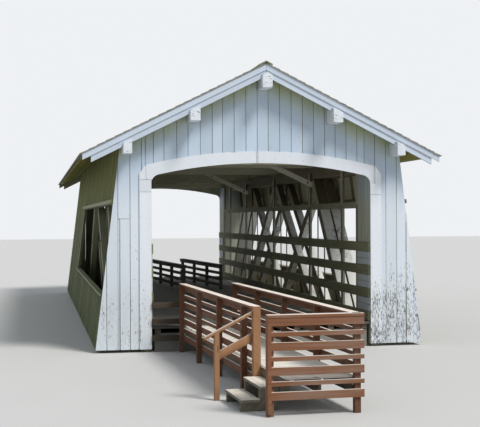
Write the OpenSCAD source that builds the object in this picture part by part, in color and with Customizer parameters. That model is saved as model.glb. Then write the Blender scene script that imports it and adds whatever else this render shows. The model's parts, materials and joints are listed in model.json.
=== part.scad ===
// Covered timber bridge with a Howe truss on each side, flared board walls, a gabled roof
// and a fenced footway that leads up to its front portal.
// X runs across the bridge, Y runs along it away from the front portal, Z is up from the ground.

/* [Bridge] */
// Length over the two portal walls
span = 18290; // [16500:10:21000]
// Half the width of the portal opening
opening_half = 2267; // [2150:1:2320]
// Height of the portal arch at its crown
arch_crown = 3770; // [3700:5:3800]
// Rise of the portal arch from the jambs to the crown
arch_rise = 270; // [150:5:400]
// Radius of the corners where the arch meets the jambs
arch_corner = 180; // [120:5:240]
// Depth of the boxed piers behind the portal boards
pier_depth = 840; // [700:5:1000]
// Thickness of the wall boards
board_t = 25; // [19:1:30]
// Thickness of the trim boards on the portals
trim_t = 25; // [19:1:32]
// Width of the jamb casings and of the arch trim
casing_w = 240; // [180:5:300]
// Height of the joint between the jamb casings and the arch trim
casing_top = 3180; // [3000:5:3250]
// Number of boards along the curve of the arch trim
arch_boards = 7; // [5:2:11]
// Open joint between two trim boards
trim_joint = 5; // [2:1:10]

/* [Walls] */
// Half the width of the bridge at the ground, over the wall boards
wall_base_half = 3383; // [3300:1:3450]
// Lean of the side walls from upright, in degrees
wall_lean = 6.88; // [6:0.01:7.2]
// Gap between the ground and the wall boards
wall_foot = 60; // [30:5:100]
// Height of the side openings at the sill
sill_z = 1120; // [1000:10:1300]
// Height of the side openings at the head
head_z = 2950; // [2800:10:3050]
// Distance of the left opening's far end from the front portal
left_opening_end = 12200; // [10000:50:15000]
// Depth of the wall studs
stud_d = 60; // [50:1:70]
// Width of the wall studs
stud_w = 45; // [38:1:60]
// Height of the rail along the head of an opening
head_rail_h = 150; // [100:5:200]
// Height of the rail under the sill of an opening
sill_rail_h = 90; // [60:5:120]
// Spacing of the wall studs
stud_pitch = 1220; // [800:10:1600]
// Height of the ledge over an opening
ledge_h = 85; // [60:1:110]
// Thickness of the cap on the sill of an opening
sill_cap_h = 40; // [25:1:60]
// How far the ledge and the cap stand out from the boards
ledge_out = 50; // [20:1:70]

/* [Truss] */
// Distance of the truss from the middle of the bridge, to its inner face
truss_in = 2320; // [2280:1:2360]
// Width of the inner and outer plies of the chords
side_ply = 150; // [130:1:150]
// Width of the middle ply of the chords
mid_ply = 120; // [100:1:130]
// Gap between two plies, where the rods pass
ply_gap = 50; // [45:1:60]
// Height of the chords
chord_h = 280; // [240:5:300]
// Height of the underside of the top chord
top_chord_z = 3640; // [3550:5:3660]
// Length of each of the two inner panels beside mid-span
inner_panel = 4145; // [3900:5:4200]
// Length of the end panels
end_panel = 2900; // [2700:5:3000]
// Depth of the braces in the plane of the truss
brace_d = 240; // [200:5:260]
// Width of each of the two end braces
end_brace_w = 240; // [200:5:250]
// Width of each of the two main braces of an inner panel
main_brace_w = 168; // [140:1:172]
// Width of the counterbrace between the main braces
counter_w = 156; // [120:1:160]
// Diameter of the tie rods
rod_d = 32; // [25:1:38]
// Distance of a brace end from the panel point
block_t = 25; // [22:1:35]
// Width of the washer plates along the bridge
plate_w = 90; // [70:1:100]
// Thickness of the washer plates
plate_t = 12; // [8:1:20]
// Width of the nuts over their corners
nut_d = 48; // [42:1:48]
// Height of the nuts
nut_h = 28; // [20:1:32]

/* [Floor] */
// Height of the abutment blocks under the chords
abutment_h = 120; // [110:5:160]
// Length of the abutment blocks along the bridge
abutment_l = 1100; // [800:10:1300]
// Depth of the floor beams
floor_beam_h = 240; // [200:5:260]
// Width of the floor beams
floor_beam_w = 200; // [150:5:250]
// Number of spaces between floor beams
floor_bays = 14; // [10:1:18]
// Depth of the stringers
stringer_h = 100; // [80:5:120]
// Width of the stringers
stringer_w = 120; // [80:5:150]
// Number of stringers
stringers = 7; // [5:2:9]
// Thickness of the deck planks
deck_t = 50; // [38:1:60]

/* [Inner rails] */
// Width of the posts that carry the rails
rail_post_w = 150; // [100:5:180]
// Depth of the rail boards
rail_h = 200; // [150:5:240]
// Thickness of the rail boards
rail_t = 38; // [25:1:45]
// Height of the top rail above the deck
rail_top = 1640; // [1600:10:1700]
// Distance from the top of one rail to the top of the next
rail_pitch = 477; // [450:1:500]
// Number of rails
rails = 4; // [3:1:4]

/* [Roof] */
// Half the width of the roof
roof_half = 3690; // [3600:5:3800]
// Rise of the roof for each unit of run
roof_slope = 0.5; // [0.49:0.01:0.56]
// Thickness of the shingles
shingle_t = 30; // [20:1:40]
// Thickness of the sheathing
sheathing_t = 30; // [20:1:40]
// How far the shingles stand out beyond a portal
roof_over = 400; // [380:5:480]
// How far the rafters and sheathing stand out beyond a portal
rafter_over = 322; // [300:1:330]
// Width of the rafters
rafter_w = 45; // [38:1:60]
// Depth of the rafters
rafter_h = 140; // [120:5:160]
// Spacing of the rafters
rafter_pitch = 610; // [400:10:700]
// Distance of the sheathing's lower edge from the middle of the bridge
sheathing_half = 3600; // [3500:5:3640]
// How far the roof beams stand out beyond a portal
beam_over = 520; // [450:5:600]
// Half the width of the ridge beam
ridge_beam_half = 100; // [80:1:120]
// Depth of the ridge beam and of the purlins, at their highest point
beam_h = 300; // [260:5:320]
// Distance of the purlins from the middle of the bridge
purlin_x = 1450; // [1300:10:1600]
// Width of the purlins
purlin_w = 200; // [150:5:240]
// Width of the eave beams
eave_beam_w = 170; // [150:5:170]
// Depth of the eave beams at their outer face
eave_beam_h = 196; // [150:2:220]
// Depth of the tie beams
tie_h = 200; // [150:5:220]
// Width of the tie beams
tie_w = 150; // [100:5:180]
// Width of the posts between the tie beams and the roof beams
roof_post_w = 140; // [100:5:160]
// Depth of the knee braces
knee_d = 120; // [80:5:140]
// Thickness of the knee braces
knee_t = 50; // [38:1:60]
// Distance of the head of a knee brace from the face of the truss
knee_run = 1360; // [1100:10:1500]
// Drop of a knee brace from its head to its foot
knee_drop = 630; // [500:5:700]
// Thickness of the bargeboards
barge_t = 38; // [25:1:45]
// Depth of the bargeboards
barge_d = 225; // [200:1:280]
// Distance of the lower ends of the bargeboards from the middle of the bridge
barge_half = 3475; // [3400:5:3560]
// Thickness of the upper rake trim
rake_t = 20; // [15:1:25]
// Depth of the upper rake trim
rake_d = 112; // [80:1:150]
// Distance of the lower ends of the rake trim from the middle of the bridge
rake_half = 3640; // [3560:5:3680]

/* [Footway] */
// Turn of the footway from the line of the bridge, in degrees
foot_turn = 2.9; // [0:0.1:5]
// Distance of the footway from the middle of the bridge, where it meets the portal
foot_x = -1130; // [-1300:5:-1000]
// Length of the footway
foot_len = 7211; // [6500:5:8000]
// Distance from the middle of the footway to the inner face of its posts on the left
foot_left = 510; // [450:1:560]
// Distance from the middle of the footway to the inner face of its posts on the right
foot_right = 470; // [420:1:520]
// Thickness of the footway planks
plank_t = 38; // [30:1:45]
// Depth of the footway joists
joist_h = 190; // [140:5:230]
// Width of the footway joists
joist_w = 45; // [38:1:60]
// Width of the fence posts
post_w = 89; // [75:1:100]
// Height of the fences over the footway
fence_h = 850; // [820:5:1000]
// Thickness of the fence caps
cap_t = 38; // [25:1:40]
// Width of the fence caps
cap_w = 140; // [120:1:160]
// Thickness of the fence boards
slat_t = 38; // [19:1:40]
// Depth of the wide fence boards
wide_slat = 110; // [90:1:120]
// Depth of the narrow fence boards
narrow_slat = 60; // [50:1:80]
// Gap between two fence boards
slat_gap = 80; // [60:1:90]
// Largest spacing of the fence posts
post_pitch = 1800; // [1200:10:2400]
// Width of the newel post
newel_w = 110; // [100:1:150]
// Length of the opening for the steps, from the newel post to the end of the footway
stair_gap = 1326; // [1200:1:1800]
// How far the front fence reaches past the left posts
fence_reach = 250; // [150:5:400]
// Number of steps
steps = 2; // [1:1:3]
// Depth of a tread
tread_d = 270; // [220:5:300]
// Length of a tread
tread_l = 980; // [700:10:1100]
// Thickness of a tread
tread_t = 45; // [30:1:50]
// Distance of the stair handrail's post from the newel post
stair_post_run = 575; // [450:5:700]
// Width of the stair handrail's post
stair_post_w = 75; // [60:1:89]

/* [Deck barriers] */
// Height of the two barriers on the deck
barrier_h = 750; // [600:10:900]
// Length of each barrier
barrier_len = 5300; // [3000:50:6000]
// Distance of the barriers from the front portal
barrier_y = 10800; // [9000:50:11500]
// Place of the left barrier's near end across the deck
barrier_left = -160; // [-400:10:0]
// Place of the right barrier's near end across the deck
barrier_right = 970; // [800:10:1000]
// Turn of the barriers from the line of the bridge, in degrees
barrier_turn = 5; // [0:0.5:8]

/* [Hidden] */

// Heights of the floor, from the ground up
floor_beam_z = abutment_h;
stringer_z = floor_beam_z + floor_beam_h;
deck_z = stringer_z + stringer_h + deck_t;
bottom_chord_top = abutment_h + chord_h;
floor_beam_inset = 200;
seat_y = 60;
seat_l = 340;
top_chord_top = top_chord_z + chord_h;
tie_top = top_chord_top + tie_h;

// Plies of a chord, as pairs of start and width from the inner face of the truss
mid_ply_x = side_ply + ply_gap;
outer_ply_x = mid_ply_x + mid_ply + ply_gap;
truss_w = outer_ply_x + side_ply;
truss_out = truss_in + truss_w;
plies = [[0, side_ply], [mid_ply_x, mid_ply], [outer_ply_x, side_ply]];
rod_x = [side_ply + ply_gap / 2, outer_ply_x - ply_gap / 2];

// Panel points of a truss, and the slope of the braces in each panel
mid_span = span / 2;
panel_points = [
    mid_span - inner_panel - end_panel, mid_span - inner_panel, mid_span,
    mid_span + inner_panel, mid_span + inner_panel + end_panel
];
brace_rise = top_chord_z - bottom_chord_top;
end_angle = brace_angle(end_panel - 2 * block_t);
inner_angle = brace_angle(inner_panel - 2 * block_t);

// Walls and roof
lean = tan(wall_lean);
roof_angle = atan(roof_slope);
eave_beam_in = truss_out - side_ply;
eave_beam_out = eave_beam_in + eave_beam_w;
ridge_z = top_chord_top + eave_beam_h + roof_slope * eave_beam_out
    + (shingle_t + sheathing_t + rafter_h) / cos(roof_angle);
eave_z = ridge_z - roof_slope * roof_half;
// Place where the slanted side of the gable meets the underside of the roof
corner_top_x = (wall_base_half - lean * roof_under(0)) / (1 - lean * roof_slope);
wall_clear = 3;
wall_top = roof_under(corner_top_x) - wall_clear;
rafter_half = corner_top_x - board_t / cos(wall_lean) - wall_clear;
stud_top = top_chord_z + 60;
beam_clear = 5;
header_z = arch_crown + 10;
header_d = 140;
pier_post_w = 140;
chord_start = pier_depth + 60;
outrigger_h = 160;
outrigger_z = abutment_h + 20;
ridge_cap_w = 130;
ridge_cap_t = 22;

// Arch of the portals
arch_r = (opening_half * opening_half + arch_rise * arch_rise) / (2 * arch_rise);
arch_z = arch_crown - arch_r;
corner_x = opening_half - arch_corner;
corner_z = arch_z + sqrt(pow(arch_r - arch_corner, 2) - pow(corner_x, 2));
corner_angle = atan2(corner_z - arch_z, corner_x);

// Footway, in its own turned frame: u to the right, v away from the bridge
foot_gap = 60;
fence_top = deck_z + fence_h;
slats_top = fence_top - cap_t;
cap_edge = 10;
fence_v = foot_len + post_w + slat_t + cap_edge;
fence_u = -foot_left - fence_reach;
deck_left = -foot_left + slat_t;
post_half = post_w / 2;
first_post_v = 38;
newel_v = foot_len - stair_gap - newel_w / 2;
closing_y = first_post_v * cos(foot_turn) + (foot_left + post_w) * sin(foot_turn) + 0.7;
slat_rows = 7;
joist_z = deck_z - plank_t - joist_h;
step_rise = deck_z / (steps + 1);
front_y = -fence_v * cos(foot_turn) + fence_u * sin(foot_turn);
back_y = span + beam_over;
mid_y = (front_y + back_y) / 2;

// Slope of a brace that seats squarely on blocks at both ends of its panel
function brace_angle(run, guess = 45, n = 20) =
    n == 0 ? guess : brace_angle(run,
        atan2(brace_rise - brace_d * cos(guess), run - brace_d * sin(guess)), n - 1);

function wall_x(z) = wall_base_half - lean * z;
function roof_top(x) = ridge_z - roof_slope * x;
function roof_below(x, t) = roof_top(x) - t / cos(roof_angle);
function roof_under(x) = roof_below(x, shingle_t + sheathing_t);
function rafter_under(x) = roof_below(x, shingle_t + sheathing_t + rafter_h);

// Points of the portal arch from the right jamb to the left one, moved outwards by grow
function arch_points(grow, corner_n = 5, arc_n = 20) = concat(
    [for (i = [0 : corner_n])
        [corner_x + (arch_corner + grow) * cos(corner_angle * i / corner_n),
         corner_z + (arch_corner + grow) * sin(corner_angle * i / corner_n)]],
    [for (i = [1 : arc_n - 1])
        let (a = corner_angle + (180 - 2 * corner_angle) * i / arc_n)
        [(arch_r + grow) * cos(a), arch_z + (arch_r + grow) * sin(a)]],
    [for (i = [corner_n : -1 : 0])
        [-corner_x - (arch_corner + grow) * cos(corner_angle * i / corner_n),
         corner_z + (arch_corner + grow) * sin(corner_angle * i / corner_n)]]);

module placed() {
    translate([0, -mid_y, 0]) children();
}

// A piece modelled on the right is mirrored to the left
module on_side(side) {
    if (side == "right") children();
    else mirror([1, 0, 0]) children();
}

// A piece modelled at the front is mirrored to the rear
module on_end(end) {
    if (end == "front") children();
    else translate([0, span, 0]) mirror([0, 1, 0]) children();
}

module both_sides() {
    children();
    mirror([1, 0, 0]) children();
}

module both_ends() {
    children();
    translate([0, span, 0]) mirror([0, 1, 0]) children();
}

// An outline of X and Z drawn out along Y
module across(y0, y1) {
    translate([0, y1, 0]) rotate([90, 0, 0]) linear_extrude(height = y1 - y0) children();
}

// An outline of Y and Z drawn out along X
module along(x0, x1) {
    translate([x0, 0, 0]) rotate([90, 0, 90]) linear_extrude(height = x1 - x0) children();
}

module block(x, y, z) {
    translate([x[0], y[0], z[0]]) cube([x[1] - x[0], y[1] - y[0], z[1] - z[0]]);
}

// Abutments and floor

module abutments() placed() color("gray") both_ends() {
    margin = 110;
    past = 150;
    block([-truss_out - margin, truss_out + margin],
        [panel_points[0] - abutment_l + past, panel_points[0] + past], [0, abutment_h]);
    block([-opening_half + 60, opening_half - 60], [seat_y, seat_y + seat_l], [0, stringer_z]);
}

module floor_beams() placed() color("rosybrown")
    for (i = [0 : floor_bays]) {
        run = span - 2 * (chord_start + floor_beam_inset) - floor_beam_w;
        y = chord_start + floor_beam_inset + i * run / floor_bays;
        block([-truss_in, truss_in], [y, y + floor_beam_w],
            [floor_beam_z, floor_beam_z + floor_beam_h]);
    }

module floor_stringers() placed() color("rosybrown")
    for (i = [0 : stringers - 1]) {
        x = -truss_in + stringer_w + i * (2 * truss_in - 3 * stringer_w) / (stringers - 1);
        block([x, x + stringer_w], [board_t + 10, span - board_t - 10],
            [stringer_z, stringer_z + stringer_h]);
    }

module floor_deck() placed() color("tan")
    block([-truss_in + 10, truss_in - 10], [0, span], [deck_z - deck_t, deck_z]);

// Trusses

module chord(z) {
    for (p = plies)
        block([truss_in + p[0], truss_in + p[0] + p[1]], [chord_start, span - chord_start],
            [z, z + chord_h]);
}

module left_bottom_chord() placed() color("gainsboro") on_side("left") chord(abutment_h);
module right_bottom_chord() placed() color("gainsboro") on_side("right") chord(abutment_h);
module left_top_chord() placed() color("gainsboro") on_side("left") chord(top_chord_z);
module right_top_chord() placed() color("gainsboro") on_side("right") chord(top_chord_z);

// A brace whose foot stands at one panel point and whose head leans to the next one
module brace(foot, head, angle) {
    dir = head > foot ? 1 : -1;
    seat = dir * (block_t + brace_d * sin(angle));
    rise = brace_d * cos(angle);
    polygon([
        [foot + seat, bottom_chord_top], [foot + dir * block_t, bottom_chord_top + rise],
        [head - seat, top_chord_z], [head - dir * block_t, top_chord_z - rise]
    ]);
}

module brace_pair(w, foot, head, angle) {
    along(truss_in, truss_in + w) brace(foot, head, angle);
    along(truss_out - w, truss_out) brace(foot, head, angle);
}

module truss_braces() {
    p = panel_points;
    counter_in = truss_in + (truss_w - counter_w) / 2;
    brace_pair(end_brace_w, p[0], p[1], end_angle);
    brace_pair(main_brace_w, p[1], p[2], inner_angle);
    brace_pair(main_brace_w, p[3], p[2], inner_angle);
    brace_pair(end_brace_w, p[4], p[3], end_angle);
    along(counter_in, counter_in + counter_w) brace(p[2], p[1], inner_angle);
    along(counter_in, counter_in + counter_w) brace(p[2], p[3], inner_angle);
}

module left_braces() placed() color("whitesmoke") on_side("left") truss_braces();
module right_braces() placed() color("whitesmoke") on_side("right") truss_braces();

// A block whose two slanted faces are square to the braces that seat on it;
// an angle of zero leaves that side of the block plain
module angle_block(y, z, up, near_angle, far_angle) {
    near = near_angle == 0 ? [0, brace_d * cos(far_angle)]
        : [brace_d * sin(near_angle), brace_d * cos(near_angle)];
    far = far_angle == 0 ? [0, brace_d * cos(near_angle)]
        : [brace_d * sin(far_angle), brace_d * cos(far_angle)];
    for (p = plies)
        along(truss_in + p[0], truss_in + p[0] + p[1])
            polygon([
                [y - block_t - near[0], z], [y - block_t, z + up * near[1]],
                [y + block_t, z + up * far[1]], [y + block_t + far[0], z]
            ]);
}

module truss_blocks() {
    p = panel_points;
    angle_block(p[0], bottom_chord_top, 1, 0, end_angle);
    angle_block(p[1], bottom_chord_top, 1, 0, inner_angle);
    angle_block(p[2], bottom_chord_top, 1, inner_angle, inner_angle);
    angle_block(p[3], bottom_chord_top, 1, inner_angle, 0);
    angle_block(p[4], bottom_chord_top, 1, end_angle, 0);
    angle_block(p[1], top_chord_z, -1, end_angle, inner_angle);
    angle_block(p[2], top_chord_z, -1, inner_angle, inner_angle);
    angle_block(p[3], top_chord_z, -1, inner_angle, end_angle);
}

module angle_blocks() placed() color("dimgray") both_sides() truss_blocks();

// Two rods at a panel point, which share a washer plate at each end
module rod_pair(y) {
    nut_out = plate_t + nut_h;
    for (x = rod_x) {
        translate([truss_in + x, y, abutment_h - nut_out - 8])
            cylinder(d = rod_d, h = top_chord_top - abutment_h + 2 * (nut_out + 8), $fn = 24);
        for (z = [abutment_h - nut_out, top_chord_top + plate_t])
            translate([truss_in + x, y, z]) cylinder(d = nut_d, h = nut_h, $fn = 6);
    }
    for (z = [abutment_h - plate_t, top_chord_top])
        block([truss_in + side_ply - 20, eave_beam_in - 4], [y - plate_w / 2, y + plate_w / 2],
            [z, z + plate_t]);
}

module truss_rods() {
    for (i = [1 : 3]) rod_pair(panel_points[i]);
}

module tie_rods() placed() color("silver") both_sides() truss_rods();

// Posts and rails along the roadway

module posts_of_rails() {
    for (y = concat([pier_depth + board_t + rail_post_w / 2], panel_points,
            [span - pier_depth - board_t - rail_post_w / 2]))
        block([opening_half, truss_in - 0.3], [y - rail_post_w / 2, y + rail_post_w / 2],
            [deck_z, top_chord_z + chord_h / 2]);
}

module rail_posts() placed() color("gray") both_sides() posts_of_rails();

module roadway_rails() {
    for (i = [0 : rails - 1]) {
        z = deck_z + rail_top - i * rail_pitch;
        block([opening_half - rail_t, opening_half], [board_t + 5, span - board_t - 5],
            [max(z - rail_h, deck_z), z]);
    }
}

module left_rails() placed() color("slategray") on_side("left") roadway_rails();
module right_rails() placed() color("slategray") on_side("right") roadway_rails();

// Side walls: x is measured outwards from the face of the boards, z is a true height

module wall_part(x, y, z) {
    translate([wall_base_half, 0, 0]) rotate([0, -wall_lean, 0])
        block(x, y, [z[0] / cos(wall_lean), z[1] / cos(wall_lean)]);
}

module wall_boards(y0, y1, z0, z1) {
    wall_part([-board_t, 0], [y0, y1], [z0, z1]);
}

opening_start = board_t + stud_w;
frame_start = pier_depth + board_t;
function opening_end(side) = side == "left" ? left_opening_end : span - opening_start;
function frame_end(side) = side == "left" ? left_opening_end : span - frame_start;

module lower_wall(side)
    wall_boards(board_t, side == "left" ? left_opening_end : span - board_t, wall_foot, sill_z);

module upper_wall(side)
    wall_boards(board_t, side == "left" ? left_opening_end : span - board_t, head_z, wall_top);

module left_lower_wall() placed() color("ghostwhite") on_side("left") lower_wall("left");
module right_lower_wall() placed() color("ghostwhite") on_side("right") lower_wall("right");
module left_upper_wall() placed() color("ghostwhite") on_side("left") upper_wall("left");
module right_upper_wall() placed() color("ghostwhite") on_side("right") upper_wall("right");

module left_end_wall() placed() color("ghostwhite") on_side("left")
    wall_boards(left_opening_end, span - board_t, wall_foot, wall_top);

module wall_stud(y, z0, z1) {
    wall_part([-board_t - stud_d, -board_t], [y - stud_w / 2, y + stud_w / 2], [z0, z1]);
}

// Distance from the middle of the bridge to the inner face of the studs
function stud_x(z) = wall_x(z) - (board_t + stud_d) / cos(wall_lean);
function wall_in_x(z) = wall_x(z) - board_t / cos(wall_lean);

// A short beam from the truss to a stud: its outer end follows the lean of the wall
module wall_arm(y, z0, z1) across(y - stud_w / 2, y + stud_w / 2)
    polygon([[truss_out, z0], [stud_x(z0), z0], [stud_x(z1), z1], [truss_out, z1]]);

function stud_places(y0, y1) = let (n = floor((y1 - y0) / stud_pitch))
    [for (i = [0 : n]) y0 + stud_w / 2 + i * (y1 - y0 - stud_w) / n];

module lower_frame(side) {
    far = opening_end(side);
    wall_part([-board_t - stud_d, -board_t], [opening_start, far], [sill_z - sill_rail_h, sill_z]);
    for (y = stud_places(frame_start, frame_end(side))) {
        wall_stud(y, outrigger_z, sill_z - sill_rail_h);
        wall_arm(y, outrigger_z, outrigger_z + outrigger_h);
    }
}

// Rail and studs over the opening, and the strip that nails the boards to the eave beam
module upper_frame(side) {
    far = opening_end(side);
    wall_part([-board_t - stud_d, -board_t], [opening_start, far], [head_z, head_z + head_rail_h]);
    for (y = stud_places(frame_start, frame_end(side))) {
        wall_stud(y, head_z + head_rail_h, stud_top);
        wall_arm(y, top_chord_z, stud_top);
    }
    across(board_t, span - board_t) polygon([
        [eave_beam_out, top_chord_top + 10], [wall_in_x(top_chord_top + 10), top_chord_top + 10],
        [wall_in_x(top_chord_top + 80), top_chord_top + 80], [eave_beam_out, top_chord_top + 80]
    ]);
}

module left_lower_frame() placed() color("dimgray") on_side("left") lower_frame("left");
module right_lower_frame() placed() color("dimgray") on_side("right") lower_frame("right");
module left_upper_frame() placed() color("dimgray") on_side("left") upper_frame("left");
module right_upper_frame() placed() color("dimgray") on_side("right") upper_frame("right");

// Studs from the ground to the eaves: at the four corners, and along the closed end on the left
module wall_studs() {
    places = [board_t + stud_w / 2, span - board_t - stud_w / 2];
    both_sides() for (y = places) wall_stud(y, wall_foot, stud_top);
    mirror([1, 0, 0])
        for (y = stud_places(left_opening_end + stud_w, span - pier_depth - board_t)) {
            wall_stud(y, outrigger_z, stud_top);
            wall_arm(y, outrigger_z, outrigger_z + outrigger_h);
            wall_arm(y, top_chord_z, stud_top);
        }
}

module full_studs() placed() color("dimgray") wall_studs();

module trim_of_opening(side) {
    far = opening_end(side);
    wall_part([0, ledge_out], [board_t, far], [head_z, head_z + ledge_h]);
    wall_part([-board_t - stud_d, ledge_out], [opening_start, far], [sill_z, sill_z + sill_cap_h]);
}

module window_trim() placed() color("ghostwhite") {
    on_side("left") trim_of_opening("left");
    on_side("right") trim_of_opening("right");
}

// Portals

module portal_leg() across(0, board_t)
    polygon([
        [opening_half, wall_foot], [wall_x(wall_foot), wall_foot],
        [wall_x(casing_top), casing_top], [opening_half, casing_top]
    ]);

module front_left_leg() placed() color("white") on_end("front") on_side("left") portal_leg();
module front_right_leg() placed() color("white") on_end("front") on_side("right") portal_leg();
module rear_left_leg() placed() color("white") on_end("rear") on_side("left") portal_leg();
module rear_right_leg() placed() color("white") on_end("rear") on_side("right") portal_leg();

module gable_outline() {
    corner = [corner_top_x, roof_under(corner_top_x)];
    foot = [wall_x(casing_top), casing_top];
    polygon(concat([foot, corner, [0, roof_under(0)], [-corner[0], corner[1]],
        [-foot[0], foot[1]], [-opening_half, casing_top]],
        [for (p = arch_points(0)) [-p[0], p[1]]], [[opening_half, casing_top]]));
}

// Section of a roof beam, with its top cut to the slope of the rafters
module beam_section(x0, x1, bottom, grow = 0)
    polygon([
        [x0 - grow, bottom - grow], [x1 + grow, bottom - grow],
        [x1 + grow, rafter_under(x1) + grow], [x0 - grow, rafter_under(x0) + grow]
    ]);

module ridge_section(grow = 0) {
    half = ridge_beam_half + grow;
    bottom = rafter_under(0) - beam_h - grow;
    polygon([[-half, bottom], [half, bottom], [half, rafter_under(ridge_beam_half) + grow],
        [0, rafter_under(0) + grow], [-half, rafter_under(ridge_beam_half) + grow]]);
}

module purlin_section(grow = 0) {
    x0 = purlin_x - purlin_w / 2;
    beam_section(x0, x0 + purlin_w, rafter_under(x0) - beam_h, grow);
}

module eave_section(grow = 0)
    beam_section(eave_beam_in, eave_beam_out, top_chord_top, grow);

module all_beam_sections(grow) {
    ridge_section(grow);
    both_sides() {
        purlin_section(grow);
        eave_section(grow);
    }
}

module gable() across(0, board_t) difference() {
    gable_outline();
    all_beam_sections(beam_clear);
}

module front_gable() placed() color("white") on_end("front") gable();
module rear_gable() placed() color("white") on_end("rear") gable();

// Trim: two jamb casings, two corner boards and short boards along the arch
module arch_trim() {
    grow = casing_w;
    step = (180 - 2 * corner_angle) / arch_boards;
    gap = trim_joint / arch_r * 180 / PI / 2;
    both_sides() {
        block([opening_half, opening_half + casing_w], [-trim_t, 0],
            [wall_foot, casing_top - trim_joint]);
        across(-trim_t, 0) polygon(concat(
            [[opening_half, casing_top]],
            [for (i = [0 : 5]) [corner_x + arch_corner * cos(corner_angle * i / 5),
                corner_z + arch_corner * sin(corner_angle * i / 5)]],
            [[(arch_r + grow) * cos(corner_angle), arch_z + (arch_r + grow) * sin(corner_angle)],
             [opening_half + casing_w, corner_z + arch_corner / 2],
             [opening_half + casing_w, casing_top]]));
    }
    for (i = [0 : arch_boards - 1]) {
        a0 = corner_angle + i * step + gap;
        a1 = a0 + step - 2 * gap;
        across(-trim_t, 0) polygon(concat(
            [for (k = [0 : 4]) let (a = a0 + (a1 - a0) * k / 4)
                [arch_r * cos(a), arch_z + arch_r * sin(a)]],
            [[(arch_r + grow) * cos(a1), arch_z + (arch_r + grow) * sin(a1)],
             [(arch_r + grow) * cos(a0), arch_z + (arch_r + grow) * sin(a0)]]));
    }
}

module front_arch_trim() placed() color("white") on_end("front") arch_trim();
module rear_arch_trim() placed() color("white") on_end("rear") arch_trim();

module portal_frame() {
    post_x = opening_half + board_t;
    both_sides()
        for (y = [board_t, pier_depth - header_d])
            block([post_x, post_x + pier_post_w], [y, y + header_d], [0, header_z]);
}

module portal_headers() {
    for (y = [board_t, pier_depth - header_d])
        block([-eave_beam_out, eave_beam_out], [y, y + header_d],
            [header_z, top_chord_top]);
}

module pier_posts() placed() color("darkgray") both_ends() portal_frame();
module header_beams() placed() color("darkgray") both_ends() portal_headers();

// Linings of the boxed piers: one board face to the roadway and one across the back
module pier_lining() both_sides() {
    block([opening_half, opening_half + board_t], [board_t, pier_depth], [wall_foot, header_z]);
    across(pier_depth, pier_depth + board_t)
        polygon([[opening_half, wall_foot], [stud_x(wall_foot) - 2, wall_foot],
            [stud_x(header_z) - 2, header_z], [opening_half, header_z]]);
}

module front_pier_lining() placed() color("whitesmoke") on_end("front") pier_lining();
module rear_pier_lining() placed() color("whitesmoke") on_end("rear") pier_lining();

// Boards along the slopes of the gable, under the shingles
module rake(y0, y1, depth, half) both_sides() across(y0, y1) difference() {
    polygon([[2, roof_below(2, shingle_t)], [half, roof_below(half, shingle_t)],
        [half, roof_below(half, shingle_t + depth)], [2, roof_below(2, shingle_t + depth)]]);
    all_beam_sections(beam_clear);
}

module bargeboards() {
    rake(-rafter_over - barge_t, -rafter_over, barge_d, barge_half);
    rake(-rafter_over - barge_t - rake_t, -rafter_over - barge_t - 0.3, rake_d, rake_half);
}

module front_bargeboards() placed() color("white") on_end("front") bargeboards();
module rear_bargeboards() placed() color("white") on_end("rear") bargeboards();

// Roof frame

module tie_beams() placed() color("darkolivegreen")
    for (y = panel_points)
        block([-truss_in - side_ply + 40, truss_in + side_ply - 40],
            [y - tie_w / 2, y + tie_w / 2], [top_chord_top, tie_top]);

// Boards lapped on the near faces of a tie beam and of the rail posts under it
module knee_braces() placed() color("lightgray")
    for (y = [panel_points[1], panel_points[3]]) both_sides() {
        slope = knee_drop / knee_run;
        half = knee_d / 2 * sqrt(1 + slope * slope);
        foot_z = tie_top - knee_drop;
        foot_x = truss_in - 1;
        across(y - tie_w / 2 - knee_t, y - tie_w / 2) polygon([
            [foot_x, foot_z - half], [foot_x, foot_z + half],
            [foot_x - (knee_drop - half) / slope, tie_top],
            [foot_x - (knee_drop + half) / slope, tie_top]
        ]);
    }

// Posts under the purlins and the ridge beam, on the tie beams and on the portal headers
module roof_posts() placed() color("darkolivegreen") {
    half = roof_post_w / 2;
    purlin_bottom = rafter_under(purlin_x - purlin_w / 2) - beam_h;
    seats = concat([for (y = panel_points) [y, tie_top]],
        [for (y = [board_t + header_d / 2, span - board_t - header_d / 2]) [y, top_chord_top]]);
    for (s = seats) {
        block([-half, half], [s[0] - half, s[0] + half], [s[1], rafter_under(0) - beam_h]);
        both_sides()
            block([purlin_x - half, purlin_x + half], [s[0] - half, s[0] + half],
                [s[1], purlin_bottom]);
    }
}

module ridge_beam() placed() color("gray") across(-beam_over, span + beam_over) ridge_section();

module roof_beams() across(-beam_over, span + beam_over) {
    purlin_section();
    eave_section();
}

module left_roof_beams() placed() color("gray") on_side("left") roof_beams();
module right_roof_beams() placed() color("gray") on_side("right") roof_beams();

module rafters() {
    reach = span + 2 * rafter_over - rafter_w;
    n = round(reach / rafter_pitch);
    for (i = [0 : n]) {
        y = -rafter_over + i * reach / n;
        across(y, y + rafter_w)
            polygon([[0, roof_under(0)], [rafter_half, roof_under(rafter_half)],
                [rafter_half, rafter_under(rafter_half)], [0, rafter_under(0)]]);
    }
}

module left_rafters() placed() color("sienna") on_side("left") rafters();
module right_rafters() placed() color("sienna") on_side("right") rafters();

module roof() {
    across(-roof_over, span + roof_over)
        polygon([[0, ridge_z], [roof_half, eave_z], [roof_half, roof_below(roof_half, shingle_t)],
            [0, roof_below(0, shingle_t)]]);
    across(-rafter_over, span + rafter_over)
        polygon([[0, roof_below(0, shingle_t)],
            [sheathing_half, roof_below(sheathing_half, shingle_t)],
            [sheathing_half, roof_under(sheathing_half)], [0, roof_under(0)]]);
}

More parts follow.
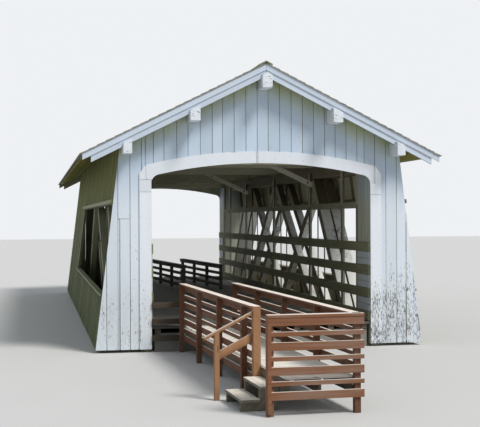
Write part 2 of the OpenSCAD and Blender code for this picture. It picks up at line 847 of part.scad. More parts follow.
module left_roof() placed() color("darkseagreen") on_side("left") roof();
module right_roof() placed() color("darkseagreen") on_side("right") roof();

module ridge_cap() placed() color("darkseagreen") across(-roof_over, span + roof_over)
    polygon([
        [0, ridge_z + ridge_cap_t], [ridge_cap_w, roof_top(ridge_cap_w) + ridge_cap_t],
        [ridge_cap_w, roof_top(ridge_cap_w)], [0, ridge_z],
        [-ridge_cap_w, roof_top(ridge_cap_w)],
        [-ridge_cap_w, roof_top(ridge_cap_w) + ridge_cap_t]
    ]);

// Footway

module footway() {
    translate([foot_x, 0, 0]) rotate([0, 0, foot_turn]) children();
}

// A block given by its sides across the footway and its distances along it from the bridge
module foot_block(u, v, z) {
    block(u, [-v[1], -v[0]], z);
}

module footway_deck() placed() color("lightgray") footway()
    foot_block([deck_left, foot_right], [foot_gap, foot_len], [deck_z - plank_t, deck_z]);

module footway_joists() placed() color("saddlebrown") footway() {
    mid = (foot_right + deck_left) / 2;
    for (u = [deck_left, mid - joist_w / 2, foot_right - joist_w])
        foot_block([u, u + joist_w], [foot_gap, foot_len], [joist_z, deck_z - plank_t]);
}

// Tops and depths of the boards of a fence, wide and narrow ones in turn from the top down
function slat_z(i) = slats_top - ceil(i / 2) * wide_slat - floor(i / 2) * narrow_slat - i * slat_gap;
function slat_h(i) = i % 2 == 0 ? wide_slat : narrow_slat;

module slats_along(u, v, n) {
    for (i = [0 : n - 1]) foot_block(u, v, [slat_z(i) - slat_h(i), slat_z(i)]);
}

// Distances of posts spread evenly between the first and the last
function post_spread(first, last) =
    let (n = ceil((last - first) / post_pitch)) [for (i = [0 : n]) first + i * (last - first) / n];

module left_fence() {
    newel_end = newel_v + newel_w / 2;
    for (v = post_spread(first_post_v + post_half, newel_v - newel_w / 2 - post_pitch / 3))
        foot_block([-foot_left - post_w, -foot_left], [v - post_half, v + post_half],
            [0, slats_top]);
    foot_block([deck_left - newel_w, deck_left], [newel_v - newel_w / 2, newel_end],
        [0, fence_top]);
    slats_along([-foot_left, deck_left], [first_post_v, newel_v - newel_w / 2],
        slat_rows);
    foot_block([-foot_left - cap_w / 2 - post_half / 2, -foot_left + cap_w / 2 - post_half / 2],
        [first_post_v, newel_v - newel_w / 2], [slats_top, fence_top]);
}

module footway_left_fence() placed() color("saddlebrown") footway() left_fence();

// Boards that close the gap between the left fence and the jamb of the portal
module closing_boards() placed() color("saddlebrown")
    for (i = [2 : 2 : 6])
        block([-opening_half, foot_x - foot_left - post_half], [-closing_y, -5],
            [slat_z(i) - slat_h(i), slat_z(i)]);

module footway_right_fence() placed() color("saddlebrown") footway() {
    for (v = post_spread(first_post_v + post_half + 60, foot_len + post_half))
        foot_block([foot_right, foot_right + post_w], [v - post_half, v + post_half],
            [0, slats_top]);
    slats_along([foot_right + post_w, foot_right + post_w + slat_t],
        [first_post_v + 60, foot_len + post_w], slat_rows);
    foot_block([foot_right + post_half - cap_w / 2, foot_right + post_half + cap_w / 2],
        [first_post_v + 60, foot_len + post_w], [slats_top, fence_top]);
}

module footway_front_fence() placed() color("saddlebrown") footway() {
    v0 = foot_len + post_w;
    edge = 50;
    right = foot_right + post_w + slat_t;
    foot_block([fence_u, fence_u + post_w], [foot_len, v0], [0, slats_top]);
    foot_block([fence_u, fence_u + edge], [v0, v0 + slat_t], [40, slats_top]);
    slats_along([fence_u + edge, right], [v0, v0 + slat_t], slat_rows);
    foot_block([fence_u, right], [v0 + slat_t + cap_edge - cap_w, v0 + slat_t + cap_edge],
        [slats_top, fence_top]);
}

module footway_steps() placed() color("gray") footway() {
    v0 = newel_v + newel_w / 2 + 5;
    for (i = [1 : steps]) {
        u = deck_left - i * tread_d;
        z = deck_z - i * step_rise;
        foot_block([u, u + tread_d], [v0, v0 + tread_l], [z - tread_t, z]);
        for (v = [v0 + 60, v0 + tread_l - 60 - joist_w])
            foot_block([u, u + tread_d], [v, v + joist_w], [0, z - tread_t]);
    }
}

// Sloping handrail of the steps, with its board and its post
module footway_handrail() placed() color("saddlebrown") footway() {
    newel_u = deck_left - newel_w;
    post_u = newel_u - stair_post_run;
    slope = 0.5;
    rail_end = newel_u - stair_post_run - 150;
    rail_z = fence_top - 75;
    board_z = rail_z - 320;
    v0 = newel_v - newel_w / 2;
    across(-v0 - stair_post_w, -v0) {
        polygon([[newel_u, rail_z], [newel_u, rail_z - 45],
            [rail_end, rail_z - 45 - slope * (newel_u - rail_end)],
            [rail_end, rail_z - slope * (newel_u - rail_end)]]);
        polygon([[post_u, 0], [post_u + stair_post_w, 0],
            [post_u + stair_post_w, rail_z - 45 - slope * (stair_post_run - stair_post_w)],
            [post_u, rail_z - 45 - slope * stair_post_run]]);
    }
    across(-v0 - joist_w, -v0) polygon([
        [newel_u, board_z], [newel_u, board_z - 130],
        [post_u + stair_post_w, board_z - 130 - slope * (stair_post_run - stair_post_w)],
        [post_u + stair_post_w, board_z - slope * (stair_post_run - stair_post_w)]
    ]);
}

// Barriers that guard a lane along the deck

module barrier() {
    top = deck_z + barrier_h;
    n = 4;
    slat = (barrier_h - 40) / (2 * n);
    for (i = [0 : 3])
        block([0, post_w], [i * (barrier_len - post_w) / 3, post_w + i * (barrier_len - post_w) / 3],
            [deck_z, top - 30]);
    for (i = [0 : n - 1])
        block([-slat_t, 0], [0, barrier_len], [top - 30 - slat - i * 2 * slat, top - 30 - i * 2 * slat]);
    block([-slat_t - 20, post_w + 20], [0, barrier_len], [top - 30, top]);
}

module deck_barriers() placed() color("darkkhaki")
    for (x = [barrier_left, barrier_right]) translate([x, barrier_y, 0]) rotate([0, 0, barrier_turn]) barrier();

abutments();
floor_beams();
floor_stringers();
floor_deck();
left_bottom_chord();
right_bottom_chord();
left_top_chord();
right_top_chord();
left_braces();
right_braces();
angle_blocks();
tie_rods();
rail_posts();
left_rails();
right_rails();
left_lower_wall();
right_lower_wall();
left_upper_wall();
right_upper_wall();
left_end_wall();
left_lower_frame();
right_lower_frame();
left_upper_frame();
right_upper_frame();
full_studs();
window_trim();
front_left_leg();
front_right_leg();
rear_left_leg();
rear_right_leg();
front_gable();
rear_gable();
front_arch_trim();
rear_arch_trim();
pier_posts();
header_beams();
front_pier_lining();
rear_pier_lining();
front_bargeboards();
rear_bargeboards();
tie_beams();
knee_braces();
roof_posts();
ridge_beam();
left_roof_beams();
right_roof_beams();
left_rafters();
right_rafters();
left_roof();
right_roof();
ridge_cap();
footway_deck();
footway_joists();
footway_left_fence();
footway_right_fence();
footway_front_fence();
footway_steps();
footway_handrail();
closing_boards();
deck_barriers();
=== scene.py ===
"""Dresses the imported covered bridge: boards, shingles, planks, fences, paint and timber finishes."""

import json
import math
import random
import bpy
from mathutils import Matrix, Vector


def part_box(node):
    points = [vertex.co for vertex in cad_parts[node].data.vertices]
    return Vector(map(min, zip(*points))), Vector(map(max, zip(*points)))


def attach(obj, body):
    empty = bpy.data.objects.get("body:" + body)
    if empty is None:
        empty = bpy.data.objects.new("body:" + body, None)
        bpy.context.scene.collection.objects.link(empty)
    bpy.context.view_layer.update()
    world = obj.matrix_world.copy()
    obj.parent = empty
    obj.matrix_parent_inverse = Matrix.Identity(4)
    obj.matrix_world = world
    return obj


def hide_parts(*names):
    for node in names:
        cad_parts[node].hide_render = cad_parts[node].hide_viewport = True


bl_info = {
    "name": "Covered Bridge",
    "version": (1, 0, 0),
    "blender": (4, 5, 0),
    "location": "View3D > Sidebar > Bridge",
    "description": "Boards, shingles, planks and finishes for a covered timber bridge",
    "category": "Add Mesh",
}

import bpy
from mathutils import Matrix, Vector

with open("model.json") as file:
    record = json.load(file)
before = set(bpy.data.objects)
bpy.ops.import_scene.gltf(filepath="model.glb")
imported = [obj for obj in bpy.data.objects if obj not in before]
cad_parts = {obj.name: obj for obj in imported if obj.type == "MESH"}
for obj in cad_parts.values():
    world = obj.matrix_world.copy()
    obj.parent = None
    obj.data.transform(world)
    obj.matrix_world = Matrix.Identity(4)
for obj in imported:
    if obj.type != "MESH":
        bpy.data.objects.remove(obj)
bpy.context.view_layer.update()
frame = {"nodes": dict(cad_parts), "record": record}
FRONT_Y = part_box("front_gable")[0].y
REAR_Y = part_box("rear_gable")[1].y
MID_Y = (FRONT_Y + REAR_Y) / 2
HALF_SPAN = REAR_Y - MID_Y
RIDGE_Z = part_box("left_roof")[1].z
SLOTS = {part["node"]: part["material_slot"] for part in frame["record"]["subparts"]}
SIDES = ("left", "right")
ACROSS, ALONG, UP = (Vector(way) for way in ((1, 0, 0), (0, 1, 0), (0, 0, 1)))

# Rise of the roof for each metre of run, and lean of the side walls in radians
SLOPE = 0.5
LEAN = 0.12
# Turn of the footway from the line of the bridge, in degrees
FOOTWAY_TURN = 2.9
# Length of an inner panel of the trusses, and distance from one rail to the next
PANEL = 4.145
RAIL_PITCH = 0.477
# Thickness of a wall board, and width of the casings round the opening
BOARD = 0.025
CASING = 0.24
# How far a cutting block reaches past what it cuts, and heights for portals and side walls
MARGIN = 0.05
HEIGHTS = (-0.1, 6.2)
# Outermost joint of the portal boards, beyond the foot of a leg
PORTAL_HALF = 3.52

# Joints between the boards of the front portal, from left to right
FRONT_CUTS = (
    -3.52, -3.155, -2.93, -2.69, -2.46, -2.384, -2.2235, -2.01, -1.753, -1.525, -1.278, -1.034,
    -0.826, -0.585, -0.342, -0.110, 0.118, 0.357, 0.598, 0.833, 1.069, 1.300, 1.525, 1.759,
    1.989, 2.143, 2.370, 2.606, 2.840, 3.047, 3.20, 3.52,
)
# Joints of the rear portal's left leg, and of the lining before it, which let light through
REAR_CUTS = (-3.52, -3.20, -2.95, -2.71, -2.466, -2.23)
LINING_CUTS = (-3.5, -2.99, -2.752, -2.508, -2.2)


# Settings


def metres(name, description, default):
    return bpy.props.FloatProperty(
        name=name, description=description, default=default, unit="LENGTH"
    )


def shade(name, description, default):
    return bpy.props.FloatVectorProperty(
        name=name, description=description, default=default, subtype="COLOR", min=0, max=1
    )


def power(name, description, default):
    return bpy.props.FloatProperty(name=name, description=description, default=default, min=0)


class BoardSettings(bpy.types.PropertyGroup):
    """Sizes of the upright wall boards."""

    width: metres("Board width", "Usual width of a wall board", 0.235)
    spread: metres("Spread", "How far a board's width strays", 0.022)
    gap: metres("Gap", "Open joint between two boards", 0.009)
    lift: metres("Lift", "How far a board stands out of line", 0.004)
    curl: metres("Curl", "How far a board's foot curls", 0.020)


class PlankSettings(bpy.types.PropertyGroup):
    """Sizes of the deck planks."""

    road_width: metres("Roadway plank", "Width of a roadway plank", 0.245)
    foot_width: metres("Footway plank", "Width of a footway plank", 0.142)
    gap: metres("Gap", "Open joint between two planks", 0.007)


class RoofSettings(bpy.types.PropertyGroup):
    """Sizes of the shingles."""

    exposure: metres("Exposure", "Visible depth of a course", 0.19)
    width: metres("Shingle width", "Usual width of a shingle", 0.17)
    butt: metres("Butt", "Thickness of a shingle's lower end", 0.014)


class ColourSettings(bpy.types.PropertyGroup):
    """Colours of the finishes."""

    # The paint is bluer and darker than plain white, which also paints the blue of open shade on it.
    paint: shade("Paint", "White paint of the portals", (0.69, 0.755, 0.825))
    bare: shade("Bare wood", "Grey wood under the paint", (0.17, 0.175, 0.18))
    side: shade("Side boards", "Weathered side walls", (0.10, 0.112, 0.05))
    stain: shade("Stain", "Stain of the footway fences", (0.215, 0.095, 0.05))
    dark: shade("Dark timber", "Unpainted timber inside", (0.20, 0.18, 0.125))
    roof: shade("Roof timber", "Timber of the roof frame", (0.58, 0.565, 0.435))


class StageSettings(bpy.types.PropertyGroup):
    """Camera, floor and light."""

    lens: bpy.props.FloatProperty(
        name="Lens", description="Focal length on a 36 mm sensor", default=80.44, unit="CAMERA"
    )
    floor: shade("Floor", "Colour of the floor", (0.56, 0.56, 0.55))
    sun: power("Sun", "Strength of the key light", 2.9)
    sky: power("Sky", "Strength of the light from all round", 0.50)


# Materials


# Finished materials by name
MATERIALS = {}


class Channel:
    """A socket of a node tree, on which arithmetic adds Math nodes."""

    def __init__(self, nodes, socket):
        self.nodes = nodes
        self.socket = socket

    def math(self, operation, *others):
        values = dict(enumerate((self,) + others))
        return self.nodes.add("ShaderNodeMath", values, operation=operation)

    def __add__(self, other):
        return self.math("ADD", other)

    __radd__ = __add__

    def __sub__(self, other):
        return self.math("SUBTRACT", other)

    def __rsub__(self, other):
        return self.nodes.add("ShaderNodeMath", {0: other, 1: self}, operation="SUBTRACT")

    def __mul__(self, other):
        return self.math("MULTIPLY", other)

    __rmul__ = __mul__

    def __truediv__(self, other):
        return self.math("DIVIDE", other)

    def __abs__(self):
        return self.math("ABSOLUTE")

    def clamp(self):
        return self.nodes.add("ShaderNodeClamp", {"Value": self})

    def step(self, low, high):
        values = {"Value": self, "From Min": low, "From Max": high}
        return self.nodes.add("ShaderNodeMapRange", values, interpolation_type="SMOOTHSTEP")


class Nodes:
    """A node tree that is filled node by node."""

    def __init__(self, tree):
        self.tree = tree

    def add(self, kind, values, output=0, **settings):
        node = self.tree.nodes.new(kind)
        for name, value in settings.items():
            setattr(node, name, value)
        for key, value in values.items():
            self.feed(node.inputs[key], value)
        return Channel(self, node.outputs[output]) if node.outputs else None

    def feed(self, socket, value):
        """Links a channel to a socket, or sets the socket to a plain value."""
        if isinstance(value, Channel):
            self.tree.links.new(value.socket, socket)
        else:
            socket.default_value = value


class Finish(Nodes):
    """A material whose patterns follow the object, or the grain of each stick."""

    def __init__(self, name):
        self.name = name
        self.material = bpy.data.materials.new(name)
        self.material.use_nodes = True
        super().__init__(self.material.node_tree)
        self.shader = self.tree.nodes["Principled BSDF"]
        self.height = None
        self.coords = self.add("ShaderNodeTexCoord", {}, output="Object")
        self.map = self.add("ShaderNodeUVMap", {}, uv_map="grain")
        self.board = self.attribute("board")

    def place(self, scale, source):
        """Coordinates at one scale for every axis, or at one for each."""
        scale = scale if isinstance(scale, tuple) else (scale,) * 3
        values = {"Vector": source or self.coords, "Scale": scale}
        return self.add("ShaderNodeMapping", values)

    def noise(self, scale, detail=3, rough=0.55, distort=0.0, source=None):
        values = {"Vector": self.place(scale, source), "Scale": 1.0, "Detail": detail,
                  "Roughness": rough, "Distortion": distort}
        return self.add("ShaderNodeTexNoise", values)

    def grain(self, along, across, detail=3, rough=0.55, distort=0.0):
        """Noise that is stretched along the stick, by the scales per metre."""
        return self.noise((along, across, 1), detail, rough, distort, self.map)

    def cells(self, scale, source=None):
        values = {"Vector": self.place(scale, source), "Scale": 1.0}
        return self.add("ShaderNodeTexVoronoi", values, output="Distance")

    def attribute(self, name):
        return self.add("ShaderNodeAttribute", {}, output="Fac", attribute_name=name)

    def axis(self, letter, source=None):
        return self.add("ShaderNodeSeparateXYZ", {0: source or self.coords}, output=letter)

    def normal(self, letter):
        return self.axis(letter, self.add("ShaderNodeNewGeometry", {}, output="Normal"))

    def facing(self, letter):
        """Above 0 where the surface looks away from the middle of the bridge, below 0 inside."""
        middle = MID_Y if letter == "Y" else 0.0
        return self.normal(letter) * (self.axis(letter) - middle)

    def mix(self, first, second, factor):
        values = {0: factor, 6: colour4(first), 7: colour4(second)}
        return self.add("ShaderNodeMix", values, output=2, data_type="RGBA", clamp_factor=True)

    def tint(self, colour, factor):
        """The colour made lighter or darker by a factor round 1."""
        values = {0: colour, "Scale": factor}
        return self.add("ShaderNodeVectorMath", values, operation="SCALE")

    def bump(self, height, depth):
        """Relief on top of the relief that the finish already has."""
        values = {"Height": height, "Distance": depth, "Strength": 1.0}
        if self.height:
            values["Normal"] = self.height
        self.height = self.add("ShaderNodeBump", values)

    def close(self, colour, rough, metal=0.0, shine=0.5):
        """Feeds the shader, and keeps the finished material by its name."""
        values = {"Base Color": colour4(colour), "Roughness": rough, "Metallic": metal,
                  "Specular IOR Level": shine}
        if self.height:
            values["Normal"] = self.height
        for key, value in values.items():
            self.feed(self.shader.inputs[key], value)
        MATERIALS[self.name] = self.material
        return self.material


def colour4(value):
    return value if isinstance(value, Channel) else (*value, 1.0)


def bare_wood(f, colour, grey=0.3, vary=0.34):
    """Colour and bump of rough timber: grain, grey patches, cracks and knots."""
    fine = f.grain(3.0, 95, detail=4, rough=0.6)
    wide = f.grain(0.9, 14, distort=0.6)
    patch = f.noise(1.1, detail=2)
    base = f.tint(colour, 0.62 - vary / 2 + fine * 0.45 + wide * 0.35 + f.board * vary)
    weathered = f.mix(base, (0.31, 0.295, 0.27), (wide + patch - 0.75).step(0.1, 0.6) * grey)
    crack = f.grain(0.8, 60, detail=2).step(0.655, 0.71)
    knot = 1 - f.cells((1.3, 7.5, 1), f.map).step(0.055, 0.10)
    final = f.mix(weathered, f.tint(colour, 0.25), (crack + knot).clamp() * 0.65)
    f.bump(1 - crack, 0.0016)
    f.bump(fine, 0.0012)
    return final


def nail_spots(f):
    """Spots of nail heads in rows across the boards, two to a board."""
    spacing = 0.62
    rows = (f.axis("Z") + f.board * 0.12) / spacing
    beat = abs(rows.math("FRACT") - 0.5) * spacing
    side = abs(abs(f.attribute("across")) - 0.62 - f.board * 0.12) * 0.11
    away = (beat * beat + side * side).math("SQRT")
    return 1 - away.step(0.004, 0.008)


def paint_finish(name, paint, bare, flaking=0.3, right=0.0, reach=2.3, bare_side=None,
                 algae_and_gable_shade=0.0, nails=False):
    """Paint that has flaked off in specks along the grain, most of all below the height reach.

    The flaking, with more of it on the right, is in standard deviations of the noise. A bare
    side is a mask of the faces without paint, and their colour."""
    f = Finish(name)
    low = ((reach - f.axis("Z")) / (reach * 0.6)).clamp()
    flake = f.grain(11, 52, detail=5, rough=0.66)
    patch = f.grain(2.4, 10)
    streak = f.grain(0.55, 9)
    cloud = f.noise(0.9, detail=2)
    amount = (f.axis("X") * 0.5).clamp() * right + flaking
    spots = (flake - 0.5) * 14 + (patch - 0.5) * 5 + (cloud - 0.5) * 4
    worn = spots + low * (amount + 0.6) - 0.6
    edge = (abs(f.attribute("across")) + flake * 0.16).step(1.03, 1.10)
    bare_mask = (worn.step(2.15, 2.45) + edge * 0.55).clamp()
    chalk = f.tint(paint, 0.88 + f.board * 0.12 + streak * 0.10)
    dirt_and_shade = f.mix(chalk, (0.47, 0.49, 0.46), (low * streak * 1.4).step(0.35, 1.0) * 0.3)
    if algae_and_gable_shade:
        under = (RIDGE_Z - 0.06 - abs(f.axis("X")) * SLOPE - f.axis("Z")) / 0.75
        shelter = (1 - under).clamp() * (streak + cloud)
        # Above about 2.6 m the paint turns bluer and darker: painted shade over the gable, on the
        # portals and the linings alike.
        gable = (f.axis("Z") - 2.6).step(0.0, 1.2)
        dirt_and_shade = f.mix(dirt_and_shade, f.tint((0.44, 0.545, 0.665), 0.90 + f.board * 0.2), gable * 0.8)
        dirt_and_shade = f.mix(dirt_and_shade, (0.42, 0.46, 0.16), shelter.step(0.10, 1.0) * algae_and_gable_shade)
    wood = f.tint(bare, 0.45 + f.grain(2.2, 75, detail=4, rough=0.65) * 1.15)
    colour = f.mix(dirt_and_shade, wood, bare_mask)
    if nails:
        colour = f.mix(colour, (0.20, 0.17, 0.15), nail_spots(f) * 0.6)
    f.bump(1 - bare_mask, 0.0012)
    f.bump(flake, 0.0009)
    if bare_side is not None:
        mask, timber = bare_side
        colour = f.mix(colour, bare_wood(f, timber), mask(f))
    f.close(colour, 0.55 + bare_mask * 0.3, shine=0.35)


def brace_finish(name, paint, bare):
    """Braces painted up to the heads of the openings and bare and dark above, which also paints the
    shade under the upper walls. Their sides are darker than the faces below, as painted shade, and
    paler above, as painted light.
    """
    f = Finish(name)
    old = bare_wood(f, (0.13, 0.105, 0.07), 0.1)
    flake = f.grain(9, 70, detail=4, rough=0.68)
    cloud = f.noise(1.3)
    worn = (flake * 0.62 + cloud * 0.45).step(0.58, 0.64)
    front = f.mix(f.tint(paint, 0.84 + cloud * 0.24), f.tint(bare, 0.6 + flake * 0.8), worn)
    # Faces that look across the bridge: darker than the paint below, as painted shade, and paler than
    # the bare wood above, as painted light.
    sides = abs(f.normal("X")).step(0.6, 0.9)
    low = f.mix(front, f.tint(old, 1.5), sides)
    high = f.mix(old, f.tint((0.44, 0.43, 0.32), 0.7 + flake * 0.6), sides)
    f.bump(flake, 0.0012)
    # Bare and dark above about 2.94 m, which is partly painted shade under the upper walls.
    f.close(f.mix(low, high, f.axis("Z").step(2.92, 2.96)), 0.7, shine=0.3)


def wood_finish(name, colour, grey=0.3, moss=0.0, damp=0.5, bleached_and_lit=None, vary=0.34):
    """Unpainted or stained timber with its grain along each stick.

    Its upper faces can be made paler, bleached by the sun and also lit as painted sunlight, or have
    moss on them."""
    f = Finish(name)
    final = bare_wood(f, colour, grey, vary)
    patch = f.noise(2.1, detail=4, rough=0.65)
    ground = (1 - f.axis("Z") / 0.45).clamp() * patch
    up = f.normal("Z").step(0.4, 0.9)
    # Upper faces paler: sun-bleaching, and painted sunlight on the tops.
    if bleached_and_lit:
        worn = (f.grain(4, 50, detail=4) + patch * 0.5).step(0.50, 0.85)
        final = f.mix(final, bleached_and_lit, up * (0.65 + worn * 0.35))
    final = f.mix(final, (0.09, 0.095, 0.05), ground.step(0.15, 0.6) * damp)
    if moss:
        final = f.mix(final, (0.14, 0.17, 0.07), (patch * up).step(0.40, 0.62) * moss)
    f.close(final, 0.78, shine=0.2)


def road_finish(name, colour):
    """Roadway planks, polished along the wheel tracks, and darker near both ends, for damp and as
    painted shade near the portals.
    """
    f = Finish(name)
    final = bare_wood(f, colour, 0.3)
    blur = f.noise((1.5, 0.6, 1.5), detail=4)
    track = 1 - (abs(abs(f.axis("X")) - 0.78) + blur * 0.3).step(0.25, 0.50)
    final = f.mix(final, (0.30, 0.29, 0.27), track * 0.45)
    # Darker near both ends: damp, and painted shade near the portals.
    damp = (abs(f.axis("Y") - MID_Y) + blur - HALF_SPAN + 2.8).step(0.3, 1.3)
    final = f.mix(final, (0.045, 0.045, 0.038), damp * 0.75)
    f.close(final, 0.75, shine=0.2)


def side_finish(name, colour, dark):
    """Old side boards: worn paint gone green outside, bare timber inside."""
    f = Finish(name)
    outside = bare_wood(f, colour, 0.12)
    height = f.axis("Z")
    flake = f.grain(5, 60, detail=4, rough=0.65)
    cloud = f.noise((0.8, 0.8, 0.5))
    paint = (flake * 0.55 + cloud * 0.5 + height * 0.012).step(0.60, 0.68)
    outside = f.mix(outside, f.tint((0.21, 0.235, 0.12), 0.8 + flake * 0.4), paint * 0.35)
    worn = (flake - 0.5) * 9 + (f.grain(0.5, 8) - 0.5) * 9 + (cloud - 0.5) * 5
    old = f.tint((0.15, 0.135, 0.105), 0.7 + flake * 0.6)
    outside = f.mix(outside, old, worn.step(0.4, 1.6) * 0.5)
    outside = f.mix(outside, (0.07, 0.10, 0.035), (1 - height / 1.9).clamp() * 0.55)
    outside = f.mix(outside, (0.17, 0.18, 0.04), ((height - 2.2) / 1.2).clamp() * 0.60)
    outside = f.mix(outside, (0.05, 0.045, 0.04), nail_spots(f) * 0.6)
    inside = f.tint(dark, 0.6 + f.grain(3, 80, detail=4) * 0.5 + f.board * 0.35)
    f.close(f.mix(inside, outside, f.facing("X").clamp()), 0.82, shine=0.1)


def beam_finish(name, paint, bare, dark):
    """Roof beams: painted where they stand out beyond the portals, dark timber inside."""
    f = Finish(name)
    inside = bare_wood(f, dark, 0.1)
    end = (abs(f.axis("Y") - MID_Y) - HALF_SPAN).step(-0.002, 0.002)
    flake = f.noise(26, detail=4, rough=0.65)
    crack = f.noise((9, 9, 60)).step(0.60, 0.66)
    chips = (flake + crack * 0.25).step(0.62, 0.70)
    painted = f.mix(f.tint(paint, 0.92 + flake * 0.12), bare, chips)
    f.bump(1 - crack, 0.003)
    f.close(f.mix(inside, painted, end), 0.7)


def soffit_finish(name, dark):
    """Roof boards from below: yellow-green under the eaves, dark inside."""
    f = Finish(name)
    inside = bare_wood(f, dark, 0.15)
    grain = f.grain(2, 40)
    out = (abs(f.axis("X")) - 2.86).step(-0.01, 0.01)
    over = (abs(f.axis("Y") - MID_Y) - HALF_SPAN).step(-0.01, 0.01)
    eaves = f.tint((0.27, 0.25, 0.07), 0.7 + grain * 0.35 + f.board * 0.3)
    f.close(f.mix(inside, eaves, (out + over).clamp()), 0.85, shine=0.1)


def shingle_finish(name):
    """Weathered shingles, grey with brown ones among them, moss and lichen."""
    f = Finish(name)
    grain = f.noise(55)
    streak = f.noise((9, 60, 9))
    moss = f.noise((1.7, 1.1, 1.7), detail=5, rough=0.7)
    ridge = (1 - (RIDGE_Z - f.axis("Z")) / 0.5).clamp()
    spots = f.cells(26)
    grey = f.tint((0.33, 0.32, 0.28), 0.47 + f.board * 0.5 + streak * 0.5)
    brown = f.mix(grey, (0.20, 0.15, 0.10), (f.board * 3 - 2.2).clamp() * 0.6)
    lichen = f.mix(brown, (0.42, 0.45, 0.36), (1 - spots.step(0.10, 0.25)) * 0.35)
    green = (moss + grain * 0.25 + ridge * 0.10).step(0.62, 0.82) * 0.75
    colour = f.mix(lichen, (0.15, 0.19, 0.08), green)
    f.bump(grain, 0.002)
    f.bump(streak, 0.002)
    f.close(colour, 0.85)


def iron_finish(name):
    """Dark iron with rust and pits."""
    f = Finish(name)
    rust = f.noise((14, 14, 7), detail=5, rough=0.65)
    pits = f.noise(160, detail=2)
    mask = rust.step(0.45, 0.65)
    colour = f.mix((0.05, 0.05, 0.052), (0.17, 0.075, 0.035), mask * 0.8)
    f.bump(pits, 0.0006)
    f.close(colour, 0.5 + mask * 0.35, 0.5)


def concrete_finish(name):
    """Mottled concrete with stains that run down."""
    f = Finish(name)
    mottle = f.noise(2.5, detail=5)
    grit = f.noise(120, detail=2)
    stain = f.noise((5, 5, 1.2))
    # The concrete is dark, partly as painted shade over the abutments.
    colour = f.tint((0.24, 0.235, 0.21), 0.70 + mottle * 0.45 + grit * 0.15 - stain * 0.15)
    f.bump(grit, 0.0015)
    f.close(colour, 0.9)


def make_materials(colours):
    """Every finish, from the colours that a user can change."""
    paint, bare, side, stain, dark, roof = (
        tuple(getattr(colours, name)) for name in ColourSettings.__annotations__
    )
    trim = (0.73, 0.775, 0.83)
    paint_finish(
        "portal_paint", paint, bare, 0.45, 1.15, 2.3, algae_and_gable_shade=0.85, nails=True,
        bare_side=(lambda f: 1 - (f.facing("Y") + f.facing("X")).clamp(), roof)
    )
    paint_finish("trim_paint", trim, bare, 0.6, 1.0, 2.0, nails=True)
    # The rake boards' paint is a darker blue-grey, as painted shade; their faces turned in towards the
    # bridge take a dark green, partly bare wood and partly painted shade.
    paint_finish(
        "rake_paint", (0.54, 0.61, 0.71), bare, 0.0,
        bare_side=(lambda f: 1 - (f.facing("Y") + 0.5).clamp(), (0.15, 0.15, 0.075))
    )
    paint_finish(
        "lining_paint", (0.44, 0.46, 0.37), bare, 0.3, algae_and_gable_shade=0.4,
        bare_side=(
            lambda f: 1 - ((f.facing("X") + f.facing("Y")) * -1).clamp(), (0.27, 0.28, 0.19)
        )
    )
    paint_finish("ledge_paint", (0.13, 0.15, 0.05), bare, 0.2)
    brace_finish("brace_paint", (0.74, 0.75, 0.72), bare)
    wood_finish("head_rail_paint", (0.36, 0.355, 0.25), 0.1)
    wood_finish("rail_timber", (0.215, 0.215, 0.13), 0.2)
    paint_finish("infill_paint", (0.46, 0.51, 0.53), bare, 0.4)
    wood_finish("dark_timber", dark, 0.2)
    wood_finish("roof_timber", roof, 0.1)
    wood_finish("old_timber", (0.26, 0.265, 0.175), 0.15)
    brace_finish("post_timber", (0.36, 0.36, 0.29), bare)
    wood_finish("knee_timber", (0.80, 0.77, 0.64), 0.1)
    wood_finish("barrier_timber", (0.15, 0.135, 0.10), 0.2, bleached_and_lit=(0.24, 0.225, 0.19))
    wood_finish("step_timber", (0.17, 0.15, 0.12), 0.3, 0.1, bleached_and_lit=(0.80, 0.74, 0.65))
    # The closing boards' very dark timber is painted shade.
    wood_finish("closing_painted_shade", (0.055, 0.042, 0.03), 0.05)
    wood_finish("joist_timber", (0.10, 0.08, 0.055), 0.2, 0.3)
    wood_finish("fence_stain", stain, 0.25, 0.0, 0.3, bleached_and_lit=(0.80, 0.73, 0.67), vary=0.5)
    # The side fences take the stain darkened by a third: painted shade on their sides.
    shaded = tuple(part * 0.66 for part in stain)
    wood_finish("fence_painted_shade", shaded, 0.15, 0.0, 0.3, bleached_and_lit=(0.85, 0.76, 0.68), vary=0.5)
    newel = (0.33, 0.17, 0.085)
    wood_finish("newel_stain", newel, 0.10, 0.0, 0.3, bleached_and_lit=(0.62, 0.54, 0.46))
    beam_finish("beam_paint", trim, bare, roof)
    side_finish("side_boards", side, roof)
    soffit_finish("soffit_boards", roof)
    road_finish("road_planks", (0.22, 0.215, 0.205))
    # The footway planks are made very pale, partly as painted sunlight on the deck.
    wood_finish("foot_planks", (0.80, 0.765, 0.70), 0.10, 0.1)
    shingle_finish("shingles")
    iron_finish("iron")
    concrete_finish("concrete")


